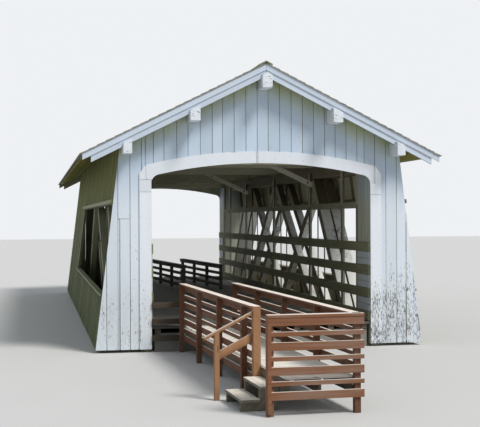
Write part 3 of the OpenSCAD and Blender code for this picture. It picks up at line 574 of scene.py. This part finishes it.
# Nodes whose sticks keep their shape: finish, width of the worn edges, and the nodes
STICKS = (
    ("concrete", 0.012, ["abutments"]),
    ("joist_timber", 0.004, ["floor_beams", "floor_stringers"]),
    ("dark_timber", 0.005, [
        "left_bottom_chord", "right_bottom_chord", "left_top_chord", "right_top_chord"
    ]),
    ("old_timber", 0.007, ["left_braces"]),
    ("brace_paint", 0.007, ["right_braces"]),
    ("dark_timber", 0.004, ["angle_blocks"]),
    ("post_timber", 0.005, ["rail_posts"]),
    ("dark_timber", 0.003, [
        "left_lower_frame", "right_lower_frame", "left_upper_frame", "right_upper_frame",
        "full_studs"
    ]),
    ("ledge_paint", 0.004, ["window_trim"]),
    ("dark_timber", 0.004, ["pier_posts"]),
    ("roof_timber", 0.005, ["header_beams"]),
    ("rake_paint", 0.003, ["front_bargeboards", "rear_bargeboards"]),
    ("roof_timber", 0.006, ["tie_beams"]),
    ("knee_timber", 0.004, ["knee_braces"]),
    ("roof_timber", 0.004, ["roof_posts"]),
    ("beam_paint", 0.006, ["ridge_beam", "left_roof_beams", "right_roof_beams"]),
    ("roof_timber", 0.003, ["left_rafters", "right_rafters"]),
    ("joist_timber", 0.003, ["footway_joists"]),
    ("fence_painted_shade", 0.005, ["footway_left_fence", "footway_right_fence"]),
    ("fence_stain", 0.005, ["footway_front_fence"]),
    ("closing_painted_shade", 0.004, ["closing_boards"]),
    ("newel_stain", 0.006, ["footway_handrail"]),
    ("step_timber", 0.005, ["footway_steps"]),
    ("barrier_timber", 0.005, ["deck_barriers"]),
)


# Modelling


def add_object(name, data):
    """A new object in the scene, with its mesh, lamp or camera."""
    thing = bpy.data.objects.new(name, data)
    bpy.context.scene.collection.objects.link(thing)
    return thing


def pick(*objects):
    """Only these objects are selected, and the first one is active."""
    bpy.ops.object.select_all(action="DESELECT")
    for thing in objects:
        thing.select_set(True)
    bpy.context.view_layer.objects.active = objects[0]


def blocks(boxes):
    """Separate cubes in one object, each from one corner to the other."""
    bpy.ops.object.select_all(action="DESELECT")
    for number, (low, high) in enumerate(boxes):
        low, high = Vector(low), Vector(high)
        bpy.ops.mesh.primitive_cube_add(size=1, location=(low + high) / 2, scale=high - low)
        if number == 0:
            bpy.ops.object.transform_apply()
            bpy.ops.object.mode_set(mode="EDIT")
    bpy.ops.object.mode_set(mode="OBJECT")
    return bpy.context.object


def block(low, high):
    return blocks([(low, high)])


def cylinder(sides, radius, depth, place, turn):
    """A closed cylinder, as a new object."""
    bpy.ops.object.select_all(action="DESELECT")
    bpy.ops.mesh.primitive_cylinder_add(
        vertices=sides, radius=radius, depth=depth, location=place, rotation=turn
    )
    bpy.ops.object.transform_apply()
    return bpy.context.object


def clear_maps(mesh):
    while mesh.uv_layers:
        mesh.uv_layers.remove(mesh.uv_layers[0])


def solid_copy(node):
    """A joined-up copy of a CAD node."""
    copy = add_object(node + "_copy", frame["nodes"][node].data.copy())
    clear_maps(copy.data)
    pick(copy)
    bpy.ops.object.mode_set(mode="EDIT")
    bpy.ops.mesh.select_all(action="SELECT")
    bpy.ops.mesh.remove_doubles(threshold=0.00002)
    bpy.ops.mesh.dissolve_limited(angle_limit=0.01)
    bpy.ops.object.mode_set(mode="OBJECT")
    return copy


def modify(piece, kind, **settings):
    """Adds a modifier with its settings, and applies it."""
    pick(piece)
    change = piece.modifiers.new("change", kind)
    for name, value in settings.items():
        setattr(change, name, value)
    bpy.ops.object.modifier_apply(modifier=change.name)


def combine(target, tool, operation="INTERSECT"):
    """A boolean of two objects, after which the tool is gone."""
    modify(target, "BOOLEAN", object=tool, operation=operation, solver="EXACT")
    bpy.data.objects.remove(tool)
    return target


def join_pieces(pieces):
    pick(*pieces)
    bpy.ops.object.join()
    return bpy.context.object


def move_mesh(piece, place):
    """Moves the mesh itself, and keeps its faces outwards when it is mirrored."""
    piece.data.transform(place)
    if place.determinant() < 0:
        piece.data.flip_normals()
    return piece


def islands(mesh):
    """Lists of the vertices that hang together."""
    parent = list(range(len(mesh.vertices)))

    def root(i):
        while parent[i] != i:
            parent[i] = parent[parent[i]]
            i = parent[i]
        return i

    for edge in mesh.edges:
        a, b = root(edge.vertices[0]), root(edge.vertices[1])
        if a != b:
            parent[a] = b
    groups = {}
    for i in range(len(parent)):
        groups.setdefault(root(i), []).append(i)
    return [groups[key] for key in sorted(groups)]


def grain_axes(points, edges, grain):
    """The direction of a stick's grain, and the two directions across it, the wider one first."""
    if grain is None:
        grain = max((points[b] - points[a] for a, b in edges), key=lambda d: round(d.length, 4))
    grain = grain.normalized()
    helper = Vector((0, 0, 1)) if abs(grain.z) < 0.8 else Vector((0, 1, 0))
    first = grain.cross(helper).normalized()
    second = grain.cross(first)
    widths = []
    for way in (first, second):
        values = [p.dot(way) for p in points.values()]
        widths.append((max(values) - min(values), (max(values) + min(values)) / 2, way))
    widths.sort(key=lambda w: -round(w[0], 4))
    return grain, widths


def map_sticks(piece, seed, grain=None, shift=None, curl=None):
    """Gives each separate stick a tone, a map along its grain and its place across the board.

    A shift moves whole sticks a little out of line, and a curl lets their feet stray and twist."""
    mesh = piece.data
    pieces = islands(mesh)
    owner = {i: k for k, group in enumerate(pieces) for i in group}
    edges = [[] for _ in pieces]
    for edge in mesh.edges:
        a, b = edge.vertices
        edges[owner[a]].append((a, b))
    centres = [sum((mesh.vertices[i].co for i in group), Vector()) / len(group) for group in pieces]
    order = sorted(range(len(pieces)), key=lambda k: tuple(round(c, 2) for c in centres[k]))
    chance = random.Random(seed)
    tones = mesh.attributes.new("board", "FLOAT", "POINT")
    across = mesh.attributes.new("across", "FLOAT", "POINT")
    flat = {}
    for k in order:
        group = pieces[k]
        points = {i: mesh.vertices[i].co.copy() for i in group}
        way, widths = grain_axes(points, edges[k], grain)
        tone, u0, v0 = chance.random(), chance.uniform(0, 9), chance.uniform(0, 9)
        move = shift * chance.uniform(-1, 1) if shift else Vector()
        stray, twist = chance.uniform(-1, 1), chance.uniform(-1, 1)
        size, middle, side = widths[0]
        top = max(p.z for p in points.values())
        for i, point in points.items():
            place = (point.dot(side) - middle) / max(size / 2, 1e-6)
            tones.data[i].value = tone
            across.data[i].value = place
            flat[i] = (u0 + point.dot(way), v0 + point.dot(side) + point.dot(widths[1][2]))
            mesh.vertices[i].co += move
            if curl:
                low = (top - point.z) / max(top, 1e-6)
                mesh.vertices[i].co += curl * (stray * 0.5 + twist * place * 0.5) * low
    clear_maps(mesh)
    layer = mesh.uv_layers.new(name="grain")
    for loop in mesh.loops:
        layer.data[loop.index].uv = flat[loop.vertex_index]


def finish_piece(piece, name, material, replaced=(), slot=None, edge=None, **layout):
    """Gives a piece worn edges, a map, its name and its finish, and lets it ride on the bridge.

    Its slot is worked out from the first node it replaces, unless one is given, but it is not used."""
    if edge:
        modify(piece, "BEVEL", width=edge, limit_method="ANGLE", angle_limit=math.radians(30))
    map_sticks(piece, **layout)
    piece.name = name
    piece.data.name = name
    if material:
        piece.data.materials.clear()
        piece.data.materials.append(MATERIALS[material])
    slot = slot or SLOTS[replaced[0]]
    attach(piece, "root")
    if replaced:
        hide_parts(*replaced)


def past(low, high, margin=MARGIN):
    """A range that reaches a little past another one at both ends."""
    return low - margin, high + margin


def cut_places(low, high, width, spread, seed):
    """Places of the joints between boards of about one width."""
    chance = random.Random(seed)
    count = max(1, round((high - low) / width))
    step = (high - low) / count
    inner = [low + k * step + chance.uniform(-spread, spread) for k in range(1, count)]
    return [low] + inner + [high]


def board_boxes(cuts, gap, axis, others):
    """Boxes between the joints, along one axis, with fixed ranges on the other two."""
    boxes = []
    for start, end in zip(cuts, cuts[1:]):
        low, high = [], []
        for letter in "XYZ":
            span = (start + gap / 2, end - gap / 2) if letter == axis else others[letter]
            low.append(span[0])
            high.append(span[1])
        boxes.append((low, high))
    return boxes


def slab_rows(rows, butt, chance):
    """Shingles lying on the plane Z = -0.03 .. 0, thin at the top end and thick at the butt."""
    base = block((0, 0, 0), (1, 1, 1))
    shape = [v.co.copy() for v in base.data.vertices]
    faces = [list(p.vertices) for p in base.data.polygons]
    bpy.data.objects.remove(base)
    points, polygons = [], []
    for start, end, a, b in rows:
        first = len(points)
        tilt = chance.uniform(-0.0015, 0.0015)
        for corner in shape:
            x = start + corner.x * (end - start)
            y = a + corner.y * (b - a)
            top = -0.020 + corner.x * 0.019 + tilt * (corner.y - 0.5) * corner.x
            z = top if corner.z > 0.5 else top - 0.004 - corner.x * (butt - 0.004)
            points.append((x, y, min(z, -0.0002)))
        polygons += [[first + i for i in face] for face in faces]
    mesh = bpy.data.meshes.new("shingles")
    mesh.from_pydata(points, [], polygons)
    mesh.update()
    return add_object("shingles", mesh)


def bolt(place, normal, radius):
    """A hexagonal bolt head on a round washer."""
    place, normal = Vector(place), Vector(normal)
    turn = normal.to_track_quat("Z", "Y").to_euler()
    washer = cylinder(14, radius * 1.7, 0.004, place + normal * 0.002, turn)
    head = cylinder(6, radius, 0.016, place + normal * 0.008, turn)
    return join_pieces([washer, head])


# Operators


class BRIDGE_OT_stage(bpy.types.Operator):
    """Set up the camera, the floor and the light"""

    bl_idname = "bridge.stage"
    bl_label = "Stage"

    def execute(self, context):
        settings = context.scene.bridge_stage
        self.set_camera(context, settings)
        bpy.ops.object.select_all(action="DESELECT")
        bpy.ops.mesh.primitive_plane_add(size=240, location=(0, 0, 0))
        floor = context.object
        floor.name = "floor"
        finish = Finish("floor")
        speck = finish.noise(0.6, detail=2)
        colour = finish.tint(tuple(settings.floor), 0.98 + speck * 0.04)
        floor.data.materials.append(finish.close(colour, 0.9))

        sun = add_object("sun", bpy.data.lights.new("sun", "SUN"))
        sun.data.energy = settings.sun
        sun.data.angle = math.radians(18)
        sun.data.color = (1.0, 0.97, 0.93)
        sun.rotation_euler = Vector((0.46, -0.56, 0.92)).to_track_quat("Z", "Y").to_euler()
        self.set_world(context, settings)
        context.scene.view_settings.view_transform = "Standard"
        return {"FINISHED"}

    def set_camera(self, context, settings):
        camera = add_object("camera", bpy.data.cameras.new("camera"))
        camera.data.lens = settings.lens
        camera.data.sensor_width = 36
        camera.data.sensor_fit = "HORIZONTAL"
        camera.data.clip_end = 500
        yaw, pitch, roll = 0.18977, 0.005075, -0.004143
        camera.matrix_world = (
            Matrix.Translation((-4.5585, FRONT_Y - 21.274, 2.6401))
            @ Matrix.Rotation(-yaw, 4, "Z")
            @ Matrix.Rotation(math.pi / 2 + pitch, 4, "X")
            @ Matrix.Rotation(roll, 4, "Z")
        )
        context.scene.camera = camera

    def set_world(self, context, settings):
        """Cool light from all round, with a paler background for camera, gloss and glass rays."""
        world = bpy.data.worlds.new("world")
        context.scene.world = world
        world.use_nodes = True
        world.node_tree.nodes.clear()
        nodes = Nodes(world.node_tree)
        seen = nodes.add("ShaderNodeBackground", {"Color": (0.86, 0.88, 0.90, 1)})
        values = {"Color": (0.86, 0.93, 1.0, 1), "Strength": settings.sky}
        light = nodes.add("ShaderNodeBackground", values)
        sight, gloss, glass = (
            nodes.add("ShaderNodeLightPath", {}, output=name)
            for name in ("Is Camera Ray", "Is Glossy Ray", "Is Transmission Ray")
        )
        any_ray = sight.math("MAXIMUM", gloss).math("MAXIMUM", glass)
        both = nodes.add("ShaderNodeMixShader", {0: any_ray, 1: light, 2: seen})
        nodes.add("ShaderNodeOutputWorld", {"Surface": both})


class BRIDGE_OT_sticks(bpy.types.Operator):
    """Make the finishes, and turn the timbers of the frame into sticks with worn edges"""

    bl_idname = "bridge.sticks"
    bl_label = "Timbers"

    def execute(self, context):
        make_materials(context.scene.bridge_colours)
        rows = [(node, finish, edge) for finish, edge, nodes in STICKS for node in nodes]
        for number, (node, finish, edge) in enumerate(rows):
            piece = solid_copy(node)
            finish_piece(piece, node + "_sticks", finish, [node], edge=edge, seed=100 + number)
            if node == "footway_left_fence":
                self.colour_newel(piece)
        rods = frame["nodes"]["tie_rods"].data
        rods.materials.clear()
        rods.materials.append(MATERIALS["iron"])
        return {"FINISHED"}

    def colour_newel(self, piece):
        """The newel post stands at the near end of its fence, and has a lighter stain."""
        mesh = piece.data
        mesh.materials.append(MATERIALS["newel_stain"])
        near = min(vertex.co.y for vertex in mesh.vertices) + 0.13
        for face in mesh.polygons:
            if all(mesh.vertices[i].co.y < near for i in face.vertices):
                face.material_index = 1


class BRIDGE_OT_portal_boards(bpy.types.Operator):
    """Board up both portals, from the gables down to the feet of the legs"""

    bl_idname = "bridge.portal_boards"
    bl_label = "Portal boards"

    def execute(self, context):
        size = context.scene.bridge_boards
        for end, seed in (("front", 3), ("rear", 4)):
            nodes = [f"{end}_gable", f"{end}_left_leg", f"{end}_right_leg"]
            sheet = solid_copy(nodes[0])
            for node in nodes[1:]:
                sheet = combine(sheet, solid_copy(node), "UNION")
            low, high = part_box(nodes[0])
            others = {"Y": past(low.y, high.y), "Z": HEIGHTS}
            if end == "front":
                out = -ALONG
                boxes = board_boxes(FRONT_CUTS, size.gap, "X", others)
                boxes = self.split_left_leg(boxes, low.y, others["Y"])
            else:
                out = ALONG
                rest = cut_places(REAR_CUTS[-1], PORTAL_HALF, size.width, size.spread, seed)
                boxes = board_boxes([*REAR_CUTS, *rest[1:]], size.gap, "X", others)
            finish_piece(
                combine(blocks(boxes), sheet), f"{end}_portal_boards", "portal_paint", nodes,
                edge=0.002, seed=seed, grain=UP, shift=out * size.lift / 2, curl=out * size.curl
            )
        return {"FINISHED"}

    def split_left_leg(self, boxes, front, depth):
        """A butt joint in the second board of the left leg, with a recessed strip below it."""
        left, strip, narrow, right = -2.926, -2.896, -2.888, -2.694
        joint_low, joint_high = 2.648, 2.656
        bottom, top = HEIGHTS
        kept = [box for box in boxes if not (box[0][0] > -2.93 and box[1][0] < -2.69)]
        kept.append(((left, depth[0], joint_high), (right, depth[1], top)))
        kept.append(((narrow, depth[0], bottom), (right, depth[1], joint_low)))
        kept.append(((left, front + 0.013, bottom), (strip, depth[1], joint_low)))
        return kept


class BRIDGE_OT_arch_trim(bpy.types.Operator):
    """Make the casings of the jambs and the long curved boards over both arches"""

    bl_idname = "bridge.arch_trim"
    bl_label = "Arch trim"

    def execute(self, context):
        for end, seed in (("front", 71), ("rear", 72)):
            node = f"{end}_arch_trim"
            trim = self.make_trim(*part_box(node), end)
            finish_piece(trim, node + "_boards", "trim_paint", [node], edge=0.003, seed=seed)
        return {"FINISHED"}

    def make_trim(self, low, high, end):
        """Two boards over the arch, cut by its upper curve and the gable, and the casings."""
        gable = solid_copy(f"{end}_gable")
        gable.data.transform(
            Matrix.Translation((0, low.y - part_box(f"{end}_gable")[0].y, 0))
        )
        radius, centre_z = 9.892, -5.882
        middle = (0, (low.y + high.y) / 2, centre_z)
        disc = cylinder(720, radius, 0.2, middle, (math.pi / 2, 0, 0))
        front, back = past(low.y, high.y, 0.01)
        spring = 3.357
        arch = blocks([
            ((-2.370, front, 3.429), (-0.131, back, 4.2)),
            ((-0.125, front, spring), (2.370, back, 4.2)),
        ])
        parts = [combine(combine(arch, disc), gable)]
        for side, joints in ((-1, (3.182, 3.426)), (1, (3.134,))):
            for piece in self.make_casing(low, high, joints, spring):
                parts.append(move_mesh(piece, Matrix.Diagonal((side, 1, 1, 1))))
        return join_pieces(parts)

    def make_casing(self, low, high, joints, spring):
        """A slanted corner piece over the boards of a casing, with open joints between them."""
        inner, half = high.x - CASING, high.x
        gap, shoulder, tip = 0.003, 2.375, 3.722
        corner = block((inner, low.y, joints[-1] + gap), (half, high.y, tip))
        arch_end = block((inner - 0.1, low.y - 0.1, spring), (shoulder, high.y + 0.1, 4))
        corner = combine(corner, arch_end, "DIFFERENCE")
        pick(corner)
        bpy.ops.object.mode_set(mode="EDIT")
        bpy.ops.mesh.select_all(action="SELECT")
        bpy.ops.mesh.bisect(
            plane_co=(shoulder, 0, tip), plane_no=(0.177, 0, 0.132), use_fill=True, clear_outer=True
        )
        bpy.ops.object.mode_set(mode="OBJECT")
        places = [low.z - gap, *joints]
        return [corner] + [
            block((inner, low.y, a + gap), (half, high.y, b - gap))
            for a, b in zip(places, places[1:])
        ]


class BRIDGE_OT_wall_boards(bpy.types.Operator):
    """Board up the flared side walls and the closed end on the left"""

    bl_idname = "bridge.wall_boards"
    bl_label = "Wall boards"

    def execute(self, context):
        size = context.scene.bridge_boards
        ends = (FRONT_Y + BOARD, REAR_Y - BOARD)
        nodes = [f"{side}_{part}_wall" for side in SIDES for part in ("lower", "upper")]
        for number, node in enumerate(nodes + ["left_end_wall"]):
            side = -1 if node.startswith("left") else 1
            low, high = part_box(node)
            cuts = cut_places(*ends, size.width, size.spread, 10 + side)
            inside = [cut for cut in cuts if low.y + 0.08 < cut < high.y - 0.08]
            cuts = [low.y - MARGIN, *inside, high.y + MARGIN]
            others = {"X": sorted((side * 2.6, side * 3.7)), "Z": HEIGHTS}
            boards = blocks(board_boxes(cuts, size.gap, "Y", others))
            out = Vector((side * math.cos(LEAN), 0, math.sin(LEAN)))
            up = Vector((-side * math.sin(LEAN), 0, math.cos(LEAN)))
            finish_piece(
                combine(boards, solid_copy(node)), node + "_boards", "side_boards", [node],
                edge=0.002, seed=20 + number, grain=up, shift=out * size.lift
            )
        return {"FINISHED"}


class BRIDGE_OT_lining_boards(bpy.types.Operator):
    """Board up the linings of the piers beside the portals"""

    bl_idname = "bridge.lining_boards"
    bl_label = "Pier linings"

    def execute(self, context):
        size = context.scene.bridge_boards
        usual = (size.width, size.spread)
        heights = (-0.1, 4.2)
        for end, seed in (("front", 31), ("rear", 32)):
            node = f"{end}_pier_lining"
            low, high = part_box(node)
            if end == "front":
                back = (high.y - BOARD, high.y + MARGIN)
                jamb = (low.y - MARGIN, back[0])
            else:
                back = (low.y - MARGIN, low.y + BOARD)
                jamb = (back[1], high.y + MARGIN)
            boxes = []
            for side in (-1, 1):
                cuts = cut_places(*jamb, *usual, seed + side)
                others = {"X": sorted((side * 2.2, side * 2.4)), "Z": heights}
                boxes += board_boxes(cuts, size.gap, "Y", others)
                if end == "rear" and side < 0:
                    cuts = LINING_CUTS
                else:
                    cuts = sorted(side * cut for cut in cut_places(2.2, 3.5, *usual, seed + 5))
                others = {"Y": back, "Z": heights}
                boxes += board_boxes(cuts, size.gap * 1.3, "X", others)
            boards = combine(blocks(boxes), solid_copy(node))
            finish_piece(
                boards, node + "_boards", "lining_paint", [node], edge=0.002, seed=seed, grain=UP
            )
        return {"FINISHED"}


class BRIDGE_OT_planks(bpy.types.Operator):
    """Lay the planks of the roadway and of the footway"""

    bl_idname = "bridge.planks"
    bl_label = "Planks"

    def execute(self, context):
        size = context.scene.bridge_planks
        rows = (
            ("floor_deck", "roadway_planks", "road_planks", size.road_width, 0.006, 0.05, 0.05, 0),
            ("footway_deck", "footway_planks", "foot_planks", size.foot_width, 0.0, 0.6, 0.2,
             FOOTWAY_TURN),
        )
        seed = 41
        for node, name, finish, width, spread, aside, beyond, turn in rows:
            low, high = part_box(node)
            cuts = cut_places(*past(low.y, high.y, beyond), width, spread, seed)
            others = {"X": past(low.x, high.x, aside), "Z": past(low.z, high.z)}
            planks = blocks(board_boxes(cuts, size.gap, "Y", others))
            middle = Matrix.Translation(((low.x + high.x) / 2, (low.y + high.y) / 2, 0))
            turned = middle @ Matrix.Rotation(math.radians(turn), 4, "Z") @ middle.inverted()
            planks.data.transform(turned)
            planks = combine(planks, solid_copy(node))
            finish_piece(planks, name, finish, [node], edge=0.003, seed=seed + 1, grain=ACROSS)
            seed += 2
        return {"FINISHED"}


class BRIDGE_OT_rails(bpy.types.Operator):
    """Cut the inner rails to length, and fill in between them beside the portals"""

    bl_idname = "bridge.rails"
    bl_label = "Rails"

    def execute(self, context):
        for number, side in enumerate(SIDES):
            node = f"{side}_rails"
            low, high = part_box(node)
            heights = self.find_heights(node)
            boards = []
            for row, (bottom, top) in enumerate(heights):
                joints = [MID_Y + k * PANEL for k in (-1, 0, 1) if (row + number) % 2 or k]
                places = [low.y, *joints, high.y]
                for a, b in zip(places, places[1:]):
                    boards.append(((low.x, a + 0.002, bottom), (high.x, b - 0.002, top)))
            finish_piece(
                blocks(boards), f"{side}_rail_boards", "rail_timber", [node],
                edge=0.006, seed=80 + number
            )
            finish_piece(
                blocks(self.head_rail(side)), f"{side}_head_rail", "head_rail_paint",
                slot=SLOTS[node], edge=0.004, seed=88 + number
            )
            finish_piece(
                blocks(self.infill(side, low, high, heights)), f"{side}_infill_boards",
                "infill_paint", slot="white_boards", edge=0.003, seed=84 + number
            )
        return {"FINISHED"}

    def find_heights(self, node):
        """The lower and upper edge of each rail, from the lowest rail up."""
        source = solid_copy(node)
        heights = []
        for group in islands(source.data):
            z = [source.data.vertices[i].co.z for i in group]
            heights.append((min(z), max(z)))
        bpy.data.objects.remove(source)
        return sorted(heights)

    def infill(self, side, low, high, heights):
        """Two boards in each space between the rails, beside both portals."""
        length, recess, gap = 0.80, 0.013, 0.004
        x = (low.x + recess, high.x) if side == "right" else (low.x, high.x - recess)
        boxes = []
        for (_, below), (above, _) in zip(heights, heights[1:]):
            step = (above - below) / 2
            for k in range(2):
                bottom, top = below + k * step + gap, below + (k + 1) * step - gap
                for y in ((low.y, low.y + length), (high.y - length, high.y)):
                    boxes.append(((x[0], y[0], bottom), (x[1], y[1], top)))
        return boxes

    def head_rail(self, side):
        """A rail between the posts at the height of the heads of the openings."""
        sign = -1 if side == "left" else 1
        x = sorted((sign * 2.272, sign * 2.316))
        bottom, top = 2.86, 3.00
        low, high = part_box("rail_posts")
        posts = [low.y + 0.15, *(MID_Y + PANEL * k for k in (-1, 0, 1)), high.y - 0.15]
        half_post = (0, 0.077, 0.077, 0.077, 0)
        return [
            ((x[0], a + half_a, bottom), (x[1], b - half_b, top))
            for a, b, half_a, half_b in zip(posts, posts[1:], half_post, half_post[1:])
        ]


class BRIDGE_OT_roof(bpy.types.Operator):
    """Lay the roof boards, the courses of shingles and the cap along the ridge"""

    bl_idname = "bridge.roof"
    bl_label = "Roof"

    def execute(self, context):
        size = context.scene.bridge_roof
        slope = math.atan(SLOPE)
        for number, side in enumerate(SIDES):
            node = f"{side}_roof"
            low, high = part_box(node)
            length = (high.x - low.x) / math.cos(slope)
            run = high.y - low.y
            chance = random.Random(50 + number)
            sheet = block((0, 0, -0.03), (length - 0.03, run, -0.019))
            shingles = slab_rows(self.courses(length, run, size, chance), size.butt, chance)
            shingles = join_pieces([shingles, sheet])
            shingles.data.materials.append(MATERIALS["shingles"])
            cuts = cut_places(0.03, 3.60 / math.cos(slope), 0.24, 0.01, 52)
            others = {"Y": (0.078, run - 0.078), "Z": (-0.06, -0.0305)}
            boards = blocks(board_boxes(cuts, 0.006, "X", others))
            boards.data.materials.append(MATERIALS["soffit_boards"])
            piece = join_pieces([shingles, boards])
            place = Matrix.Translation((0, low.y, high.z)) @ Matrix.Rotation(slope, 4, "Y")
            if side == "left":
                place = Matrix.Diagonal((-1, 1, 1, 1)) @ place
            move_mesh(piece, place)
            finish_piece(piece, f"{side}_shingles", None, [node], seed=60 + number, grain=ALONG)
        self.ridge(size)
        return {"FINISHED"}

    def courses(self, length, run, size, chance):
        """Shingles course by course from the eave up, as start, end and both sides of each."""
        rows = []
        for course in range(math.ceil((length - 0.04) / size.exposure)):
            start = length - (course + 1) * size.exposure
            y = -chance.uniform(0, 0.1)
            while y < run:
                width = size.width * chance.uniform(0.55, 1.35)
                a, b = max(y, 0), min(y + width - 0.005, run)
                if b - a > 0.03:
                    drop = chance.uniform(-0.005, 0.005) if course else 0.0
                    rows.append((max(start - 0.12, 0), start + size.exposure + drop, a, b))
                y += width
        return rows

    def ridge(self, size):
        """Caps that lap each other along the ridge, one pair for each exposed length."""
        low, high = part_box("ridge_cap")
        count = math.ceil((high.y - low.y) / size.exposure)
        step = (high.y - low.y) / count
        caps = blocks([
            ((low.x - 0.1, low.y + k * step + 0.001, low.z - 0.1),
             (high.x + 0.1, low.y + (k + 1) * step, high.z + 0.1))
            for k in range(count)
        ])
        caps = combine(caps, solid_copy("ridge_cap"))
        lap = 0.007
        for vertex in caps.data.vertices:
            part = ((vertex.co.y - low.y) / step) % 1.0
            if part < 0.5 and vertex.co.z > RIDGE_Z - abs(vertex.co.x) * SLOPE + 0.01:
                vertex.co.z += lap
        finish_piece(caps, "ridge_caps", "shingles", ["ridge_cap"], seed=66, grain=ALONG)


class BRIDGE_OT_bolts(bpy.types.Operator):
    """Put bolts through the crossings of the braces, the knee braces and the rails"""

    bl_idname = "bridge.bolts"
    bl_label = "Bolts"

    def execute(self, context):
        rail_low, rail_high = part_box("right_rails")
        brace_low, brace_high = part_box("right_braces")
        middle_z = (brace_low.z + brace_high.z) / 2
        spots = []
        for side in (-1, 1):
            for y in (MID_Y - PANEL / 2, MID_Y + PANEL / 2):
                for x, way in ((brace_low.x, -side), (brace_high.x, side)):
                    for dz in (-0.06, 0.06):
                        spots.append(((side * x, y, middle_z + dz), (way, 0, 0), 0.024))
            for y in (MID_Y - PANEL, MID_Y, MID_Y + PANEL):
                for row in range(4):
                    z = rail_high.z - 0.1 - row * RAIL_PITCH
                    for dy in (-0.045, 0.045):
                        spots.append(((side * rail_low.x, y + dy, z), (-side, 0, 0), 0.011))
        knee_low, knee_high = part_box("knee_braces")
        for y in (knee_low.y, knee_high.y - 0.05):
            for x, z in ((2.20, knee_low.z + 0.12), (1.12, knee_high.z - 0.09)):
                for side in (-1, 1):
                    spots.append(((side * x, y, z), (0, -1, 0), 0.014))
        bolts = join_pieces([bolt(*spot) for spot in spots])
        finish_piece(bolts, "bolts", "iron", slot="rods", seed=91)
        return {"FINISHED"}


class BRIDGE_PT_panel(bpy.types.Panel):
    """Lists the steps that dress the bridge"""

    bl_label = "Covered Bridge"
    bl_idname = "BRIDGE_PT_panel"
    bl_space_type = "VIEW_3D"
    bl_region_type = "UI"
    bl_category = "Bridge"

    def draw(self, context):
        for group, kind in GROUPS.items():
            for name in kind.__annotations__:
                self.layout.prop(getattr(context.scene, group), name)
        for operator in OPERATORS:
            self.layout.operator(operator.bl_idname)


OPERATORS = (
    BRIDGE_OT_stage,
    BRIDGE_OT_sticks,
    BRIDGE_OT_portal_boards,
    BRIDGE_OT_arch_trim,
    BRIDGE_OT_wall_boards,
    BRIDGE_OT_lining_boards,
    BRIDGE_OT_planks,
    BRIDGE_OT_rails,
    BRIDGE_OT_roof,
    BRIDGE_OT_bolts,
)
GROUPS = {
    "bridge_boards": BoardSettings,
    "bridge_planks": PlankSettings,
    "bridge_roof": RoofSettings,
    "bridge_colours": ColourSettings,
    "bridge_stage": StageSettings,
}


def register():
    for kind in (*GROUPS.values(), *OPERATORS, BRIDGE_PT_panel):
        bpy.utils.register_class(kind)
    for name, kind in GROUPS.items():
        setattr(bpy.types.Scene, name, bpy.props.PointerProperty(type=kind))


def unregister():
    for name in GROUPS:
        delattr(bpy.types.Scene, name)
    for kind in (BRIDGE_PT_panel, *reversed(OPERATORS), *GROUPS.values()):
        bpy.utils.unregister_class(kind)


def main():
    register()
    for operator in OPERATORS:
        module, name = operator.bl_idname.split(".")
        if getattr(getattr(bpy.ops, module), name)() != {"FINISHED"}:
            raise RuntimeError(operator.bl_idname + " didn't finish")


if __name__ == "__main__":
    main()
